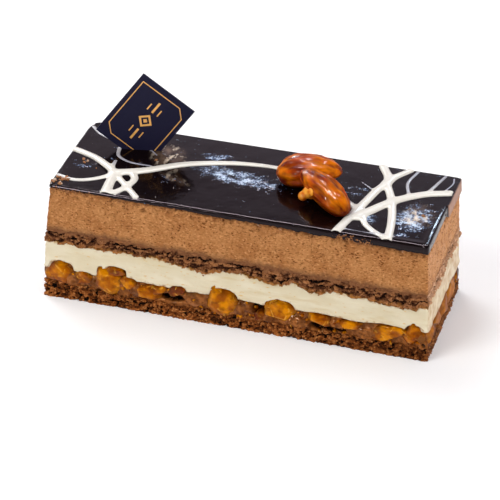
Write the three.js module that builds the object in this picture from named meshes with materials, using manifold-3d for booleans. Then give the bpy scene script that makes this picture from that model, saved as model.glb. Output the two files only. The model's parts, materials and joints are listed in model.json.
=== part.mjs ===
// Almond crunch entremet: a cut bar of layered cake under a dark mirror glaze, with white drizzle,
// two caramelised almonds and a small decor card planted by one corner.
// Millimetres, +Z up, long side along X, front side along -Y.
import * as THREE from 'three';
import { mergeVertices } from 'three/addons/utils/BufferGeometryUtils.js';
import Module from 'manifold-3d';

const wasm = await Module();
wasm.setup();

// Driving dimensions of the bar. Its corners run front left, front right, back right, back left.
// The ends lean in towards the top, more steeply near the top.
const HEIGHT = 50;
const FOOT_CORNERS = [[-77.6, -25.0], [77.2, -26.9], [76.5, 26.2], [-77.8, 27.2]];
const TOP_CORNERS = [[-73.9, -23.5], [75.4, -25.6], [74.9, 26.3], [-74.1, 27.6]];
const CORNER_RADII = [2.2, 2.2, 2.2, 6];
const LEAN_CURVE = 1.6;
const RING_POINTS = 128;

// Joints between the layers from the foot up: mean height, swell and crest length of their waves,
// ragged steps, and fall along X. A clear gap is left at each joint.
const JOINTS = {
  foot: { level: 0, swell: 0, crest: 1, rag: 0, fall: 0 },
  base: { level: 5.6, swell: 0.45, crest: 26, rag: 0.2, fall: 0 },
  crunch: { level: 13.4, swell: 0.5, crest: 31, rag: 0, fall: 0 },
  cream: { level: 24.5, swell: 0.7, crest: 19, rag: 0.4, fall: 0.009 },
  sponge: { level: 30, swell: 0.3, crest: 34, rag: 0, fall: 0.004 },
  mousse: { level: 47.9, swell: 0.25, crest: 40, rag: 0, fall: 0.009 },
};
const BASE_RISE = 1.8;
const BASE_RISE_SPAN = [48, 74];
const JOINT_GAP = 0.12;

// Relief of the cut sides: how far crumb, caramel, cream and flakes stand in or out.
const BASE_CRAGS = 0.55;
const CARAMEL_DENT = [-1.6, -0.4];
const CREAM_SMEAR = 0.12;
const SPONGE_FLAKES = [-0.7, 0.3];
const MOUSSE_PORES = 0.15;

// Glaze edge: overhang past the mousse, and the rows of its rounded lip as depth and set-back.
// Behind the step the right end is a plain cut face that stands further out.
const GLAZE_OVERHANG = 0.45;
const GLAZE_SOLE = 0.3;
const GLAZE_LIP_ROWS = [[0.75, 0], [0.2, 0.45], [0, 1.5]];
const GLAZE_STEP_Y = 4;
const GLAZE_STEP_OUT = 0.6;
const GLAZE_CUT_LIP = 0.3;

// Nut pieces on the front side: place along it, height, half length, half height and tilt in degrees.
const FRONT_NUTS = [
  [-70.4, 12.2, 5.6, 5.0, 10],
  [-60.9, 10.7, 3.8, 3.0, -15],
  [-49.9, 11.6, 5.7, 5.3, 0],
  [-47.8, 16.1, 4.4, 2.2, -12],
  [-42.4, 11.5, 3.5, 3.0, -30],
  [-34.9, 9.7, 5.3, 3.2, 8],
  [-30.2, 11.5, 3.7, 1.9, 25],
  [-22.2, 12.3, 3.5, 2.1, 14],
  [-3.8, 11.0, 5.9, 6.0, 0],
  [10.8, 8.5, 2.9, 2.6, 40],
  [19.2, 11.1, 5.9, 5.2, 10],
  [35.1, 10.3, 5.1, 2.9, -10],
  [46.6, 10.3, 4.9, 2.2, 5],
  [62.1, 9.7, 6.7, 3.0, 12],
  [71.9, 10.9, 3.8, 4.4, -25],
];

// The rule for nut pieces on the other sides, and what all pieces share.
const NUT_SEEDS = { right: 11, back: 23, left: 37 };
const NUT_SPACING = [9, 13];
const NUT_HALF_LENGTH = [3.8, 6.2];
const NUT_HALF_HEIGHT = [2.8, 5.4];
const NUT_TILT = [-30, 30];
const NUT_LIFT = [0, 1.2];
const NUT_SETTLE = 0.9;
const NUT_LENGTHS_APART = 1.7;
const NUT_END_MARGIN = 5;
const NUT_DEPTH = 3.4;
const NUT_PROUD = 0.8;
const NUT_UNEVEN = 0.12;
const NUT_SKIN = 0.5;

// Drizzle strokes: points along the glaze as [x, y], and the width at the start and at the end.
const STROKES = [
  { path: [[-73.3, 4], [-64, 0.2], [-57, -4.8], [-52, -9.2]], width: [3.3, 3.4] },
  { path: [[-73.2, -16.2], [-66, -18], [-59, -15.4], [-52.6, -9.8]], width: [1.8, 2.5] },
  { path: [[-52.4, -9.2], [-52.2, -16], [-51.4, -22.4]], width: [3.6, 4.4] },
  { path: [[-52, -9.6], [-45.6, -16.6], [-39.8, -22.4]], width: [2.7, 2.6] },
  { path: [[-45.6, -7.8], [-43.9, -11.7], [-45.4, -18], [-48.6, -22.6]], width: [3, 3] },
  { path: [[-53, -9], [-42, -3.9], [-29, 4.9], [-14, 10.7], [0, 12.9], [11, 12.8]], width: [4.4, 2.3] },
  { path: [[-57.2, 9.8], [-55.4, 3.8], [-49.6, 0.4], [-41, 0]], width: [1.7, 0.8] },
  { path: [[-55.4, -0.2], [-55.1, -4.6]], width: [1.4, 1.7] },
  { path: [[-72.6, 22.2], [-67.6, 18.2], [-60, 14.2]], width: [1.5, 1.1] },
  { path: [[45.3, 25], [49.1, 16.8], [46.7, 6.8], [44.2, -5.2], [40, -24.2]], width: [3.5, 3.5] },
  { path: [[54.8, 25.1], [51.2, 19.8], [49.4, 14.8]], width: [3, 3.6] },
  { path: [[49.4, 13.8], [54.4, 1.8], [58, -12.2], [59.9, -24.4]], width: [3.2, 3.1] },
  { path: [[73, 13.4], [64.6, 9.8], [54.8, 1.6], [48, -8.2], [44.8, -13.2]], width: [3.9, 4.6] },
  { path: [[46.4, -11.2], [50, -18.2], [59, -24.6]], width: [2.6, 2.3] },
  { path: [[37.8, -1.8], [42.8, -7.2]], width: [1, 3.2] },
  { path: [[58.4, 25.2], [57, 16.8], [59.6, 7.8]], width: [1.2, 1.4] },
  { path: [[69.4, 25], [66.2, 12.4]], width: [1.2, 1.6] },
  { path: [[42, -22.5], [54, -23], [64, -22.7], [73.4, -23.3]], width: [1, 1.1] },
];
const STROKE_STEP = 4;
const STROKE_STEPS_LEAST = 4;
const STROKE_SINK = 0.3;
const STROKE_RISE = 0.2;
const STROKE_RISE_LEAST = 0.14;
const STROKE_SECTION = [[-1, 0], [1, 0], [0.75, 0.7], [0, 1], [-0.75, 0.7]];

// Almonds: sizes, taper of the pointed end, droop of both ends, place, and turns in degrees.
const BACK_ALMOND = {
  length: 25.6, width: 14.2, thickness: 11.8, taper: 0.24, droop: 1.0,
  place: [21.2, 4.6], yaw: 8, pitch: 7.5, roll: 6,
};
const FRONT_ALMOND = {
  length: 26.6, width: 12.2, thickness: 9.2, taper: -0.06, droop: 0.4,
  place: [31.0, -7.9], yaw: -34, pitch: -16.5, roll: -5,
};
const ALMOND_SEGMENTS = [22, 14];
const ALMOND_RIDGES = 7;
const ALMOND_RIDGE = 0.035;
const ALMOND_TWIST = 2;
const REST_GAP = 0.15;
const TOUCH_GAP = 0.3;
const CARAMEL_DROP = { place: [23.8, -8.4, 53.7], size: [3.5, 3.2, 2.9], seed: 3 };

// Decor card: sides, thickness, centre, turns in degrees, and the clearance of its slot.
const CARD_LENGTH = 31;
const CARD_WIDTH = 25;
const CARD_THICKNESS = 0.5;
const CARD_CENTRE = [-47.3, 12.5, 62.9];
const CARD_YAW = 12;
const CARD_LEAN = 5;
const CARD_ROLL = 52.5;
const CARD_CLEARANCE = 0.3;

const FINISHES = {
  base_sponge: { color: 0x64402a, roughness: 0.95 },
  almond_crunch: { color: 0xb0701f, roughness: 0.35 },
  cream: { color: 0xe8d9b4, roughness: 0.6 },
  thin_sponge: { color: 0x5e3f2c, roughness: 0.95 },
  mousse: { color: 0xb88258, roughness: 0.85 },
  glaze: { color: 0x1c1012, roughness: 0.08 },
  almond_back: { color: 0xb05a14, roughness: 0.2 },
  almond_front: { color: 0xbb6418, roughness: 0.2 },
  card: { color: 0x1a1a2e, roughness: 0.5 },
};

const { degToRad, lerp, smoothstep } = THREE.MathUtils;

// Seeded draws: a running stream, and a fixed value in -1..1 for a place in a grid.
function stream(seed) {
  let state = seed;
  return (low, high) => {
    state = (Math.imul(state, 1664525) + 1013904223) >>> 0;
    return lerp(low, high, state / 2 ** 32);
  };
}

function speck(column, row, seed) {
  const mixed = Math.sin(column * 127.1 + row * 311.7 + seed * 74.7) * 43758.5453;
  return 2 * (mixed - Math.floor(mixed)) - 1;
}

function speckBetween([low, high], column, row, seed) {
  return lerp(low, high, 0.5 + 0.5 * speck(column, row, seed));
}

// A smooth wave over the plan, in -1..1, with crests about one crest length apart.
function ripple(x, y, crest) {
  const turn = 2 * Math.PI / crest;
  const broad = Math.sin((x + 0.7 * y) * turn + crest);
  const fine = Math.sin((0.6 * x - y) * turn * 1.9 + 2.3 * crest);
  return 0.6 * broad + 0.4 * fine;
}

// The bar's outline with rounded corners, as evenly spaced points that run anticlockwise.
function roundedOutline(corners) {
  const points = corners.map(([x, y]) => new THREE.Vector2(x, y));
  const shape = new THREE.Shape();
  points.forEach((corner, i) => {
    const before = points[(i + 3) % 4];
    const after = points[(i + 1) % 4];
    const entry = corner.clone().lerp(before, CORNER_RADII[i] / corner.distanceTo(before));
    const exit = corner.clone().lerp(after, CORNER_RADII[i] / corner.distanceTo(after));
    if (i === 0) {
      shape.moveTo(entry.x, entry.y);
    } else {
      shape.lineTo(entry.x, entry.y);
    }
    shape.quadraticCurveTo(corner.x, corner.y, exit.x, exit.y);
  });
  shape.closePath();
  return shape.getSpacedPoints(RING_POINTS).slice(0, RING_POINTS);
}

const footOutline = roundedOutline(FOOT_CORNERS);
const topOutline = roundedOutline(TOP_CORNERS);
const outwards = footOutline.map((point, i) => {
  const next = footOutline[(i + 1) % RING_POINTS];
  const last = footOutline[(i + RING_POINTS - 1) % RING_POINTS];
  return new THREE.Vector2(next.y - last.y, last.x - next.x).normalize();
});

// One point of the bar's side at ring place i and height z, moved out by an offset.
function sidePoint(i, z, offset) {
  const plan = footOutline[i].clone().lerp(topOutline[i], (z / HEIGHT) ** LEAN_CURVE);
  plan.addScaledVector(outwards[i], offset);
  return new THREE.Vector3(plan.x, plan.y, z);
}

// The four sides in ring order, each measured along its foot from its middle.
const SIDES = ['front', 'right', 'back', 'left'].map((name, i) => {
  const start = new THREE.Vector2(...FOOT_CORNERS[i]);
  const end = new THREE.Vector2(...FOOT_CORNERS[(i + 1) % 4]);
  const direction = end.clone().sub(start).normalize();
  return {
    name,
    direction,
    middle: start.clone().lerp(end, 0.5),
    outward: new THREE.Vector2(direction.y, -direction.x),
    reach: start.distanceTo(end) / 2 - NUT_END_MARGIN,
  };
});

function sideOf(i) {
  const facing = (side) => side.outward.dot(outwards[i]);
  return SIDES.reduce((best, side) => (facing(side) > facing(best) ? side : best));
}

// Nut pieces of a side by the seeded rule: one after another, standing on the base.
function scatterNuts(side) {
  const draw = stream(NUT_SEEDS[side.name]);
  const nuts = [];
  let place = -side.reach;
  while (place < side.reach) {
    const halfLength = draw(...NUT_HALF_LENGTH);
    const halfHeight = Math.min(draw(...NUT_HALF_HEIGHT), halfLength);
    const height = JOINTS.base.level + NUT_SETTLE * halfHeight + draw(...NUT_LIFT);
    nuts.push([place, height, halfLength, halfHeight, draw(...NUT_TILT)]);
    place += Math.max(draw(...NUT_SPACING), NUT_LENGTHS_APART * halfLength);
  }
  return nuts;
}

for (const side of SIDES) {
  side.nuts = side.name === 'front' ? FRONT_NUTS : scatterNuts(side);
}

// Height of the cream's lower edge over the nut pieces at a ring place.
function nutCover(i) {
  const side = sideOf(i);
  const along = footOutline[i].clone().sub(side.middle).dot(side.direction);
  return side.nuts.reduce((cover, [place, height, halfLength, halfHeight]) => {
    const across = (along - place) / (halfLength + NUT_SKIN);
    if (Math.abs(across) >= 1) {
      return cover;
    }
    return Math.max(cover, height + NUT_SKIN + halfHeight * Math.sqrt(1 - across * across));
  }, 0);
}

// Height of a joint at a ring place.
function jointHeight(name, i) {
  const { level, swell, crest, rag, fall } = JOINTS[name];
  const { x, y } = footOutline[i];
  const height = level + swell * ripple(x, y, crest) + rag * speck(i, level, 5) - fall * x;
  if (name === 'base') {
    return height + BASE_RISE * smoothstep(-x, ...BASE_RISE_SPAN);
  }
  return name === 'crunch' ? Math.max(height, nutCover(i)) : height;
}

// The ring of side points at a joint and the middle of its cap, moved up or down by a part of the gap.
function jointRing(name, shift) {
  return footOutline.map((plan, i) => sidePoint(i, jointHeight(name, i) + shift, 0));
}

function jointMiddle(name, shift) {
  return new THREE.Vector3(0, 0, JOINTS[name].level + shift);
}

// A closed skin over rings of points, each end shut by a fan round its middle.
function loft(rings, firstMiddle, lastMiddle) {
  const size = rings[0].length;
  const lastRing = (rings.length - 1) * size;
  const middles = rings.length * size;
  const faces = [];
  for (let i = 0; i < size; i += 1) {
    const j = (i + 1) % size;
    for (let row = 0; row < lastRing; row += size) {
      faces.push(row + i, row + j, row + size + j, row + i, row + size + j, row + size + i);
    }
    faces.push(middles, j, i, middles + 1, lastRing + i, lastRing + j);
  }
  const geometry = new THREE.BufferGeometry();
  geometry.setFromPoints([...rings.flat(), firstMiddle, lastMiddle]);
  geometry.setIndex(faces);
  geometry.computeVertexNormals();
  return geometry;
}

// A layer between two joints, with rows of relief on its side between them.
function layer(lower, upper, rows, relief) {
  const lowGap = lower === 'foot' ? 0 : JOINT_GAP / 2;
  const bottom = jointRing(lower, lowGap);
  const top = jointRing(upper, -JOINT_GAP / 2);
  const rings = [bottom];
  for (let row = 1; row < rows; row += 1) {
    rings.push(bottom.map((low, i) => sidePoint(i, lerp(low.z, top[i].z, row / rows), relief(i, row))));
  }
  rings.push(top);
  return loft(rings, jointMiddle(lower, lowGap), jointMiddle(upper, -JOINT_GAP / 2));
}

// A geometry with positions alone and its shared corners merged.
function merged(geometry) {
  const bare = geometry.clone();
  bare.deleteAttribute('normal');
  bare.deleteAttribute('uv');
  return mergeVertices(bare);
}

// Solids for joining and cutting, from a closed geometry and back. A loose scrap is dropped.
function toSolid(geometry) {
  const { attributes, index } = merged(geometry);
  const vertProperties = new Float32Array(attributes.position.array);
  const triVerts = new Uint32Array(index.array);
  return new wasm.Manifold(new wasm.Mesh({ numProp: 3, vertProperties, triVerts }));
}

function toGeometry(solid) {
  const [largest] = solid.decompose().sort((a, b) => b.volume() - a.volume());
  const { vertProperties, triVerts } = largest.getMesh();
  const geometry = new THREE.BufferGeometry();
  geometry.setAttribute('position', new THREE.BufferAttribute(vertProperties, 3));
  geometry.setIndex(new THREE.BufferAttribute(triVerts, 1));
  geometry.computeVertexNormals();
  return geometry;
}

function joined(solids) {
  return solids.reduce((whole, solid) => whole.add(solid));
}

// A geometry whose every corner is moved by a rule.
function reshaped(geometry, move) {
  const { position } = geometry.attributes;
  for (let i = 0; i < position.count; i += 1) {
    const corner = move(new THREE.Vector3().fromBufferAttribute(position, i), i);
    position.setXYZ(i, corner.x, corner.y, corner.z);
  }
  geometry.computeVertexNormals();
  return geometry;
}

// An uneven lump from a unit ball, with each corner drawn in or out.
function lump([x, y, z], seed) {
  const size = new THREE.Vector3(x, y, z);
  return reshaped(merged(new THREE.IcosahedronGeometry(1, 1)), (corner, i) => (
    corner.multiply(size).multiplyScalar(1 + NUT_UNEVEN * speck(i, seed, 9))
  ));
}

function nutPiece(side, [along, height, halfLength, halfHeight, tilt], seed) {
  const plan = side.middle.clone().addScaledVector(side.direction, along);
  plan.addScaledVector(side.outward, NUT_PROUD - NUT_DEPTH);
  const place = new THREE.Object3D();
  place.position.set(plan.x, plan.y, height);
  place.rotation.set(0, degToRad(-tilt), side.direction.angle(), 'ZYX');
  place.updateMatrix();
  return lump([halfLength, NUT_DEPTH, halfHeight], seed).applyMatrix4(place.matrix);
}

// The crunch: a set core of caramel, with the nut pieces at its sides fused on.
// The pieces keep to the room between the joints above and below.
function almondCrunch() {
  const core = layer('base', 'crunch', 2, (i, row) => speckBetween(CARAMEL_DENT, i, row, 2));
  const low = jointRing('base', JOINT_GAP / 2);
  const high = jointRing('crunch', -JOINT_GAP / 2);
  const widened = (ring) => ring.map((point, i) => sidePoint(i, point.z, NUT_DEPTH));
  const room = loft(
    [low, widened(low), widened(high), high],
    jointMiddle('base', JOINT_GAP / 2),
    jointMiddle('crunch', -JOINT_GAP / 2),
  );
  const pieces = SIDES.flatMap((side) => side.nuts.map((nut, i) => toSolid(nutPiece(side, nut, i))));
  return toGeometry(toSolid(core).add(joined(pieces).intersect(toSolid(room))));
}

// The glaze: a poured sheet with a rounded lip.
function glazeSheet() {
  const bottom = jointRing('mousse', JOINT_GAP / 2);
  const isCut = (i) => sideOf(i).name === 'right' && footOutline[i].y > GLAZE_STEP_Y;
  const overhang = (i) => GLAZE_OVERHANG + (isCut(i) ? GLAZE_STEP_OUT : 0);
  const lip = (i) => (isCut(i) ? GLAZE_CUT_LIP : 1);
  const sole = bottom.map((p, i) => sidePoint(i, p.z + GLAZE_SOLE, overhang(i)));
  const rows = GLAZE_LIP_ROWS.map(([depth, setBack]) => (
    bottom.map((p, i) => sidePoint(i, HEIGHT - depth, overhang(i) - setBack * lip(i)))
  ));
  return loft([bottom, sole, ...rows], jointMiddle('mousse', JOINT_GAP / 2), new THREE.Vector3(0, 0, HEIGHT));
}

// A stroke of drizzle: a low rounded ridge that follows its path and sinks a little into the glaze.
function drizzleStroke({ path, width }) {
  const curve = new THREE.CatmullRomCurve3(path.map(([x, y]) => new THREE.Vector3(x, y, HEIGHT)));
  const steps = Math.max(STROKE_STEPS_LEAST, Math.round(curve.getLength() / STROKE_STEP));
  const rings = [];
  for (let step = 0; step <= steps; step += 1) {
    const centre = curve.getPointAt(step / steps);
    const tangent = curve.getTangentAt(step / steps);
    const wide = lerp(width[0], width[1], step / steps);
    const tall = STROKE_SINK + STROKE_RISE_LEAST + STROKE_RISE * wide;
    const sideways = new THREE.Vector3(-tangent.y, tangent.x, 0);
    rings.push(STROKE_SECTION.map(([across, up]) => (
      centre.clone().addScaledVector(sideways, across * wide / 2).setZ(HEIGHT - STROKE_SINK + up * tall)
    )));
  }
  return loft(rings, curve.getPointAt(0), curve.getPointAt(1));
}

// An almond: a ball drawn out along X, narrower at one end, ridged lengthwise and drooping at its ends.
function almondGeometry({ length, width, thickness, taper, droop }, grow) {
  return reshaped(merged(new THREE.SphereGeometry(1, ...ALMOND_SEGMENTS)), ({ x, y, z }) => {
    const ridge = 1 + ALMOND_RIDGE * Math.cos(ALMOND_RIDGES * Math.atan2(x, z) + ALMOND_TWIST * y);
    const girth = (1 - taper * y) * ridge;
    return new THREE.Vector3(
      y * (length / 2 + grow),
      -x * girth * (width / 2 + grow),
      z * girth * (thickness / 2 + grow) - droop * y * y,
    );
  });
}

// An almond's turn and place, set down so that its lowest point rests just clear of the glaze.
function almondMatrix(almond) {
  const mesh = new THREE.Mesh(almondGeometry(almond, 0));
  mesh.rotation.set(degToRad(almond.roll), degToRad(-almond.pitch), degToRad(almond.yaw), 'ZYX');
  const lowest = new THREE.Box3().setFromObject(mesh, true).min.z;
  mesh.position.set(...almond.place, HEIGHT + REST_GAP - lowest);
  mesh.updateMatrix();
  return mesh.matrix;
}

function placedAlmond(almond, grow) {
  return almondGeometry(almond, grow).applyMatrix4(almondMatrix(almond));
}

// The front almond carries a drop of set caramel and leans on the back almond, just clear of it.
function frontAlmond() {
  const body = toSolid(placedAlmond(FRONT_ALMOND, 0));
  const drop = toSolid(lump(CARAMEL_DROP.size, CARAMEL_DROP.seed).translate(...CARAMEL_DROP.place));
  const neighbour = toSolid(placedAlmond(BACK_ALMOND, TOUCH_GAP));
  return toGeometry(body.add(drop).subtract(neighbour));
}

// The card stands nearly upright, turned in its own plane so that one corner points down.
function cardGeometry(clearance) {
  const stand = new THREE.Object3D();
  stand.rotation.set(degToRad(90 - CARD_LEAN), 0, degToRad(CARD_YAW), 'ZXY');
  stand.position.set(...CARD_CENTRE);
  stand.updateMatrix();
  const sides = [CARD_LENGTH, CARD_WIDTH, CARD_THICKNESS].map((side) => side + 2 * clearance);
  return new THREE.BoxGeometry(...sides).rotateZ(degToRad(CARD_ROLL)).applyMatrix4(stand.matrix);
}

const cardSlot = toSolid(cardGeometry(CARD_CLEARANCE));
const mousseBlock = layer('sponge', 'mousse', 3, (i, row) => MOUSSE_PORES * speck(i, row, 7));
const drizzledGlaze = joined([glazeSheet(), ...STROKES.map(drizzleStroke)].map(toSolid));

const GEOMETRIES = {
  base_sponge: layer('foot', 'base', 3, (i, row) => BASE_CRAGS * speck(i, row, 1)),
  almond_crunch: almondCrunch(),
  cream: layer('crunch', 'cream', 2, (i, row) => CREAM_SMEAR * speck(i, row, 4)),
  thin_sponge: layer('cream', 'sponge', 3, (i, row) => speckBetween(SPONGE_FLAKES, i, row, 6)),
  mousse: toGeometry(toSolid(mousseBlock).subtract(cardSlot)),
  glaze: toGeometry(drizzledGlaze.subtract(cardSlot)),
  almond_back: placedAlmond(BACK_ALMOND, 0),
  almond_front: frontAlmond(),
  card: cardGeometry(0),
};

const entremet = new THREE.Group();
for (const [name, geometry] of Object.entries(GEOMETRIES)) {
  const mesh = new THREE.Mesh(geometry, new THREE.MeshStandardMaterial(FINISHES[name]));
  mesh.name = name;
  entremet.add(mesh);
}

export default entremet;
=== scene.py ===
"""Looks of the almond crunch entremet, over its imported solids.

Sizes are in millimetres until a mesh is made.
"""

import json
import math

import bmesh
import bpy
import numpy as np
from mathutils import Matrix, Vector, geometry

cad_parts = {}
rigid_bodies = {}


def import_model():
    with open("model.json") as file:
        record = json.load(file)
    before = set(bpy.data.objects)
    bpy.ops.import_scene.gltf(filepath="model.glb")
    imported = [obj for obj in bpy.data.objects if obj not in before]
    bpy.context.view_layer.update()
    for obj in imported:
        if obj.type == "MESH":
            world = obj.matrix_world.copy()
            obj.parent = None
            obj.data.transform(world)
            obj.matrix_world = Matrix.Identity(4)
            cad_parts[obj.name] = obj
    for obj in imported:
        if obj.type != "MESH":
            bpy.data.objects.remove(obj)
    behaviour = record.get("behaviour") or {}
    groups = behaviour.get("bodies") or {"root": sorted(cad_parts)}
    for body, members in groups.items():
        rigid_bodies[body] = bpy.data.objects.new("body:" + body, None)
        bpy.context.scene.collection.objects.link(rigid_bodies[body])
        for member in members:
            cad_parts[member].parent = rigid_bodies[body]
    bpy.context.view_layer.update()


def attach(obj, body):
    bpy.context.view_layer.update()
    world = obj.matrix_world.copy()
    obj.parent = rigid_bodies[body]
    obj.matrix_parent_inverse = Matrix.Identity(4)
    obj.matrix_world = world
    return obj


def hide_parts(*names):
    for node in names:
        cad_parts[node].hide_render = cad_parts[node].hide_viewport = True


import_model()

MM = 0.001
SAME_POINT = 0.001
SAME_PLAN_POINT = 1e-6

# The bar, as in its solids with crisper corners. They run front left, front right, back right, back left.
HEIGHT = 50.0
FOOT_CORNERS = ((-77.6, -25.0), (77.2, -26.9), (76.5, 26.2), (-77.8, 27.2))
TOP_CORNERS = ((-73.9, -23.5), (75.4, -25.6), (74.9, 26.3), (-74.1, 27.6))
CORNER_RADII = (1.2, 1.0, 1.2, 6.0)
CORNER_STEPS = 9
LEAN_CURVE = 1.6
RING_STEP = 0.33
TOP_REACH = (76, 28)

# Joints between the layers: mean height, swell, crest length, fall along X, and raggedness with its step.
JOINTS = {
    "base": {"level": 5.4, "swell": 0.45, "crest": 26, "fall": 0.0, "rag": 0.55, "step": 1.6},
    "crunch": {"level": 13.2, "swell": 0.5, "crest": 31, "fall": 0.0, "rag": 0.25, "step": 3.0},
    "cream": {"level": 24.2, "swell": 0.7, "crest": 19, "fall": 0.009, "rag": 0.6, "step": 1.3},
    "sponge": {"level": 30.0, "swell": 0.25, "crest": 34, "fall": 0.011, "rag": 0.3, "step": 1.3},
    "mousse": {"level": 48.2, "swell": 0.15, "crest": 40, "fall": 0.0125, "rag": 0.22, "step": 1.4},
}
JOINT_SEED_STEP = 10
FINE_RAG = 0.5
# The two waves of a joint's swell: shares of X and Y, pace, start and size.
RIPPLES = ((1.0, 0.7, 1.0, 1.0, 0.6), (0.6, -1.0, 1.9, 2.3, 0.4))
BASE_RISE = 1.8
BASE_RISE_SPAN = (48.0, 74.0)
END_CREAM_RISE = 1.8
# Where the thin sponge hangs into the cream along the front: place and height.
CREAM_TOP = (
    (-75, 25.3), (-30, 25.3), (-22, 23.8), (-12, 22.8), (-5, 24.8), (0, 24.8), (10, 24.0), (18, 22.7),
    (24, 25.0), (30, 22.3), (34, 22.0), (40, 24.5), (48, 22.5), (52, 23.5), (58, 23.0), (65, 22.5),
    (72, 22.3), (76, 24.0),
)

# Layers between two joints: the step between rows, marks up the side, and relief.
# Marks are pairs of share up the side and value. A crack has a middle, a wander and a half width.
LAYERS = {
    "base_sponge": ("foot", "base", 0.25, {"cracks": ((0.62, 0.22, 0.08),)}, {
        "Lump Size": 4.0, "Lump Depth": 0.4, "Flake Size": 1.8, "Flake Depth": 0.25,
        "Crumb Size": 1.0, "Crumb Depth": 0.55, "Grain Size": 0.6, "Grain Depth": 0.4,
        "Pit Size": 2.0, "Pit Level": 0.58, "Pit Depth": 1.1, "Height Stretch": 1.2, "Seed": 1.0,
    }),
    "cream": ("crunch", "cream", 0.4, {"bulge": ((0, 0.1), (0.03, 0.35), (0.1, 0.1), (0.25, 0), (1, 0))}, {
        "Lump Size": 9.0, "Lump Depth": 0.3, "Flake Size": 6.0, "Flake Depth": 0.0,
        "Crumb Size": 6.0, "Crumb Depth": 0.15, "Grain Size": 2.6, "Grain Depth": 0.2,
        "Pit Size": 3.0, "Pit Level": 2.0, "Pit Depth": 0.0, "Height Stretch": 2.4, "Seed": 3.0,
    }),
    "thin_sponge": ("cream", "sponge", 0.25, {
        "bulge": ((0, 0.45), (0.3, 0.2), (0.7, 0.0), (1, 0)),
        "rough": ((0, 1), (0.6, 1), (0.78, 0.7), (1, 0.5)),
        "holes": ((0, 0.2), (0.25, 0.5), (0.5, 1), (0.65, 1), (0.8, 0.3), (1, 0)),
        "cracks": ((0.64, 0.16, 0.085), (0.4, 0.22, 0.06)),
    }, {
        "Lump Size": 3.4, "Lump Depth": 0.3, "Flake Size": 2.0, "Flake Depth": 0.55,
        "Crumb Size": 1.3, "Crumb Depth": 0.35, "Grain Size": 0.7, "Grain Depth": 0.45,
        "Pit Size": 3.0, "Pit Level": 0.6, "Pit Depth": 1.0, "Height Stretch": 1.9, "Seed": 5.0,
    }),
    "mousse": ("sponge", "mousse", 0.33, {
        "rough": ((0, 0.8), (0.7, 1), (0.9, 1.8), (1, 3)),
        "holes": ((0, 0.4), (0.8, 0.6), (0.93, 3), (1, 2)),
    }, {
        "Lump Size": 7.0, "Lump Depth": 0.2, "Flake Size": 1.6, "Flake Depth": 0.08,
        "Crumb Size": 1.4, "Crumb Depth": 0.15, "Grain Size": 0.8, "Grain Depth": 0.25,
        "Pit Size": 1.6, "Pit Level": 0.61, "Pit Depth": 0.5, "Height Stretch": 1.0, "Seed": 7.0,
    }),
}
CARAMEL_CORE = ("base", "crunch", 0.33, {"bulge": ((0, -0.3), (0.2, -0.6), (0.8, -0.7), (1, -0.9))}, {
    "Lump Size": 5.0, "Lump Depth": 0.8, "Flake Size": 3.0, "Flake Depth": 0.0,
    "Crumb Size": 3.0, "Crumb Depth": 0.35, "Grain Size": 1.4, "Grain Depth": 0.15,
    "Pit Size": 3.4, "Pit Level": 0.62, "Pit Depth": 1.2, "Height Stretch": 1.3, "Seed": 11.0,
})
EVEN_OUT = ((0, 0), (1, 0))
EVEN_SHARE = ((0, 1), (1, 1))
# What is added to a layer's seed for its lumps, crumbs, grain, pits and flakes.
RELIEF_SEEDS = (0.0, 3.0, 5.0, 9.0, 13.0)
PIT_EDGE = 0.06
FLAKE_STIR = 1.5
# Cracks: the size and step of their slow and fast wander, and how wide they are along their way.
CRACK_WANDER = ((0.7, 8.0), (0.5, 2.2))
CRACK_WIDTH, CRACK_WIDTH_STEP, CRACK_WIDTH_RANGE = 0.55, 6.0, (0.01, 1.2)
CRACK_FULL = 0.6
CRACK_SEED, CRACK_SEED_STEP = 100, 10
# The sponges' colours, and how much moist band, cream stain, knife smear and darkening toward the right each
# one has.
# Dark also serves as painted shade in low places, and pale as painted light on the crumbs' crests.
SPONGES = {
    "base_sponge": {
        "dark": (40, 16, 4), "brown": (138, 74, 30), "pale": (218, 148, 86), "warm": (168, 98, 46),
        "band": 0.0, "stain": 0.0, "smear": 0.15, "darker_right": 0.35,
    },
    "thin_sponge": {
        "dark": (44, 20, 9), "brown": (124, 76, 46), "pale": (196, 138, 94), "warm": (152, 94, 48),
        "band": 0.8, "stain": 0.7, "smear": 0.95, "darker_right": 0.0,
    },
}
# Along the bar, where the sponge goes darker toward the right end.
DARKER_RIGHT_SPAN = (20.0, 70.0)

# Nut pieces on the front: place along it, height, half length, half height, tilt in degrees and tint.
FRONT_NUTS = (
    (-70.4, 12.1, 5.4, 4.9, 5, 0.45),
    (-60.9, 10.7, 3.8, 3.0, -15, 0.55),
    (-49.9, 11.6, 5.7, 5.3, 0, 0.3),
    (-47.8, 16.1, 4.4, 2.2, -12, 0.6),
    (-42.4, 11.5, 3.5, 3.0, -30, 0.5),
    (-34.9, 9.7, 5.3, 3.2, 8, 0.45),
    (-30.2, 11.5, 3.7, 1.9, 25, 0.6),
    (-22.2, 12.3, 3.5, 2.1, 14, 0.8),
    (-3.8, 11.0, 5.9, 6.0, 0, 0.2),
    (10.8, 7.6, 2.6, 1.8, 20, 1.0),
    (19.2, 11.1, 5.9, 5.2, 10, 0.25),
    (34.7, 11.0, 4.9, 2.2, -10, 0.4),
    (46.6, 10.6, 4.7, 1.9, 5, 0.35),
    (62.1, 9.7, 6.7, 3.0, 12, 0.3),
    (71.9, 10.9, 3.8, 4.4, -25, 0.65),
)
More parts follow.
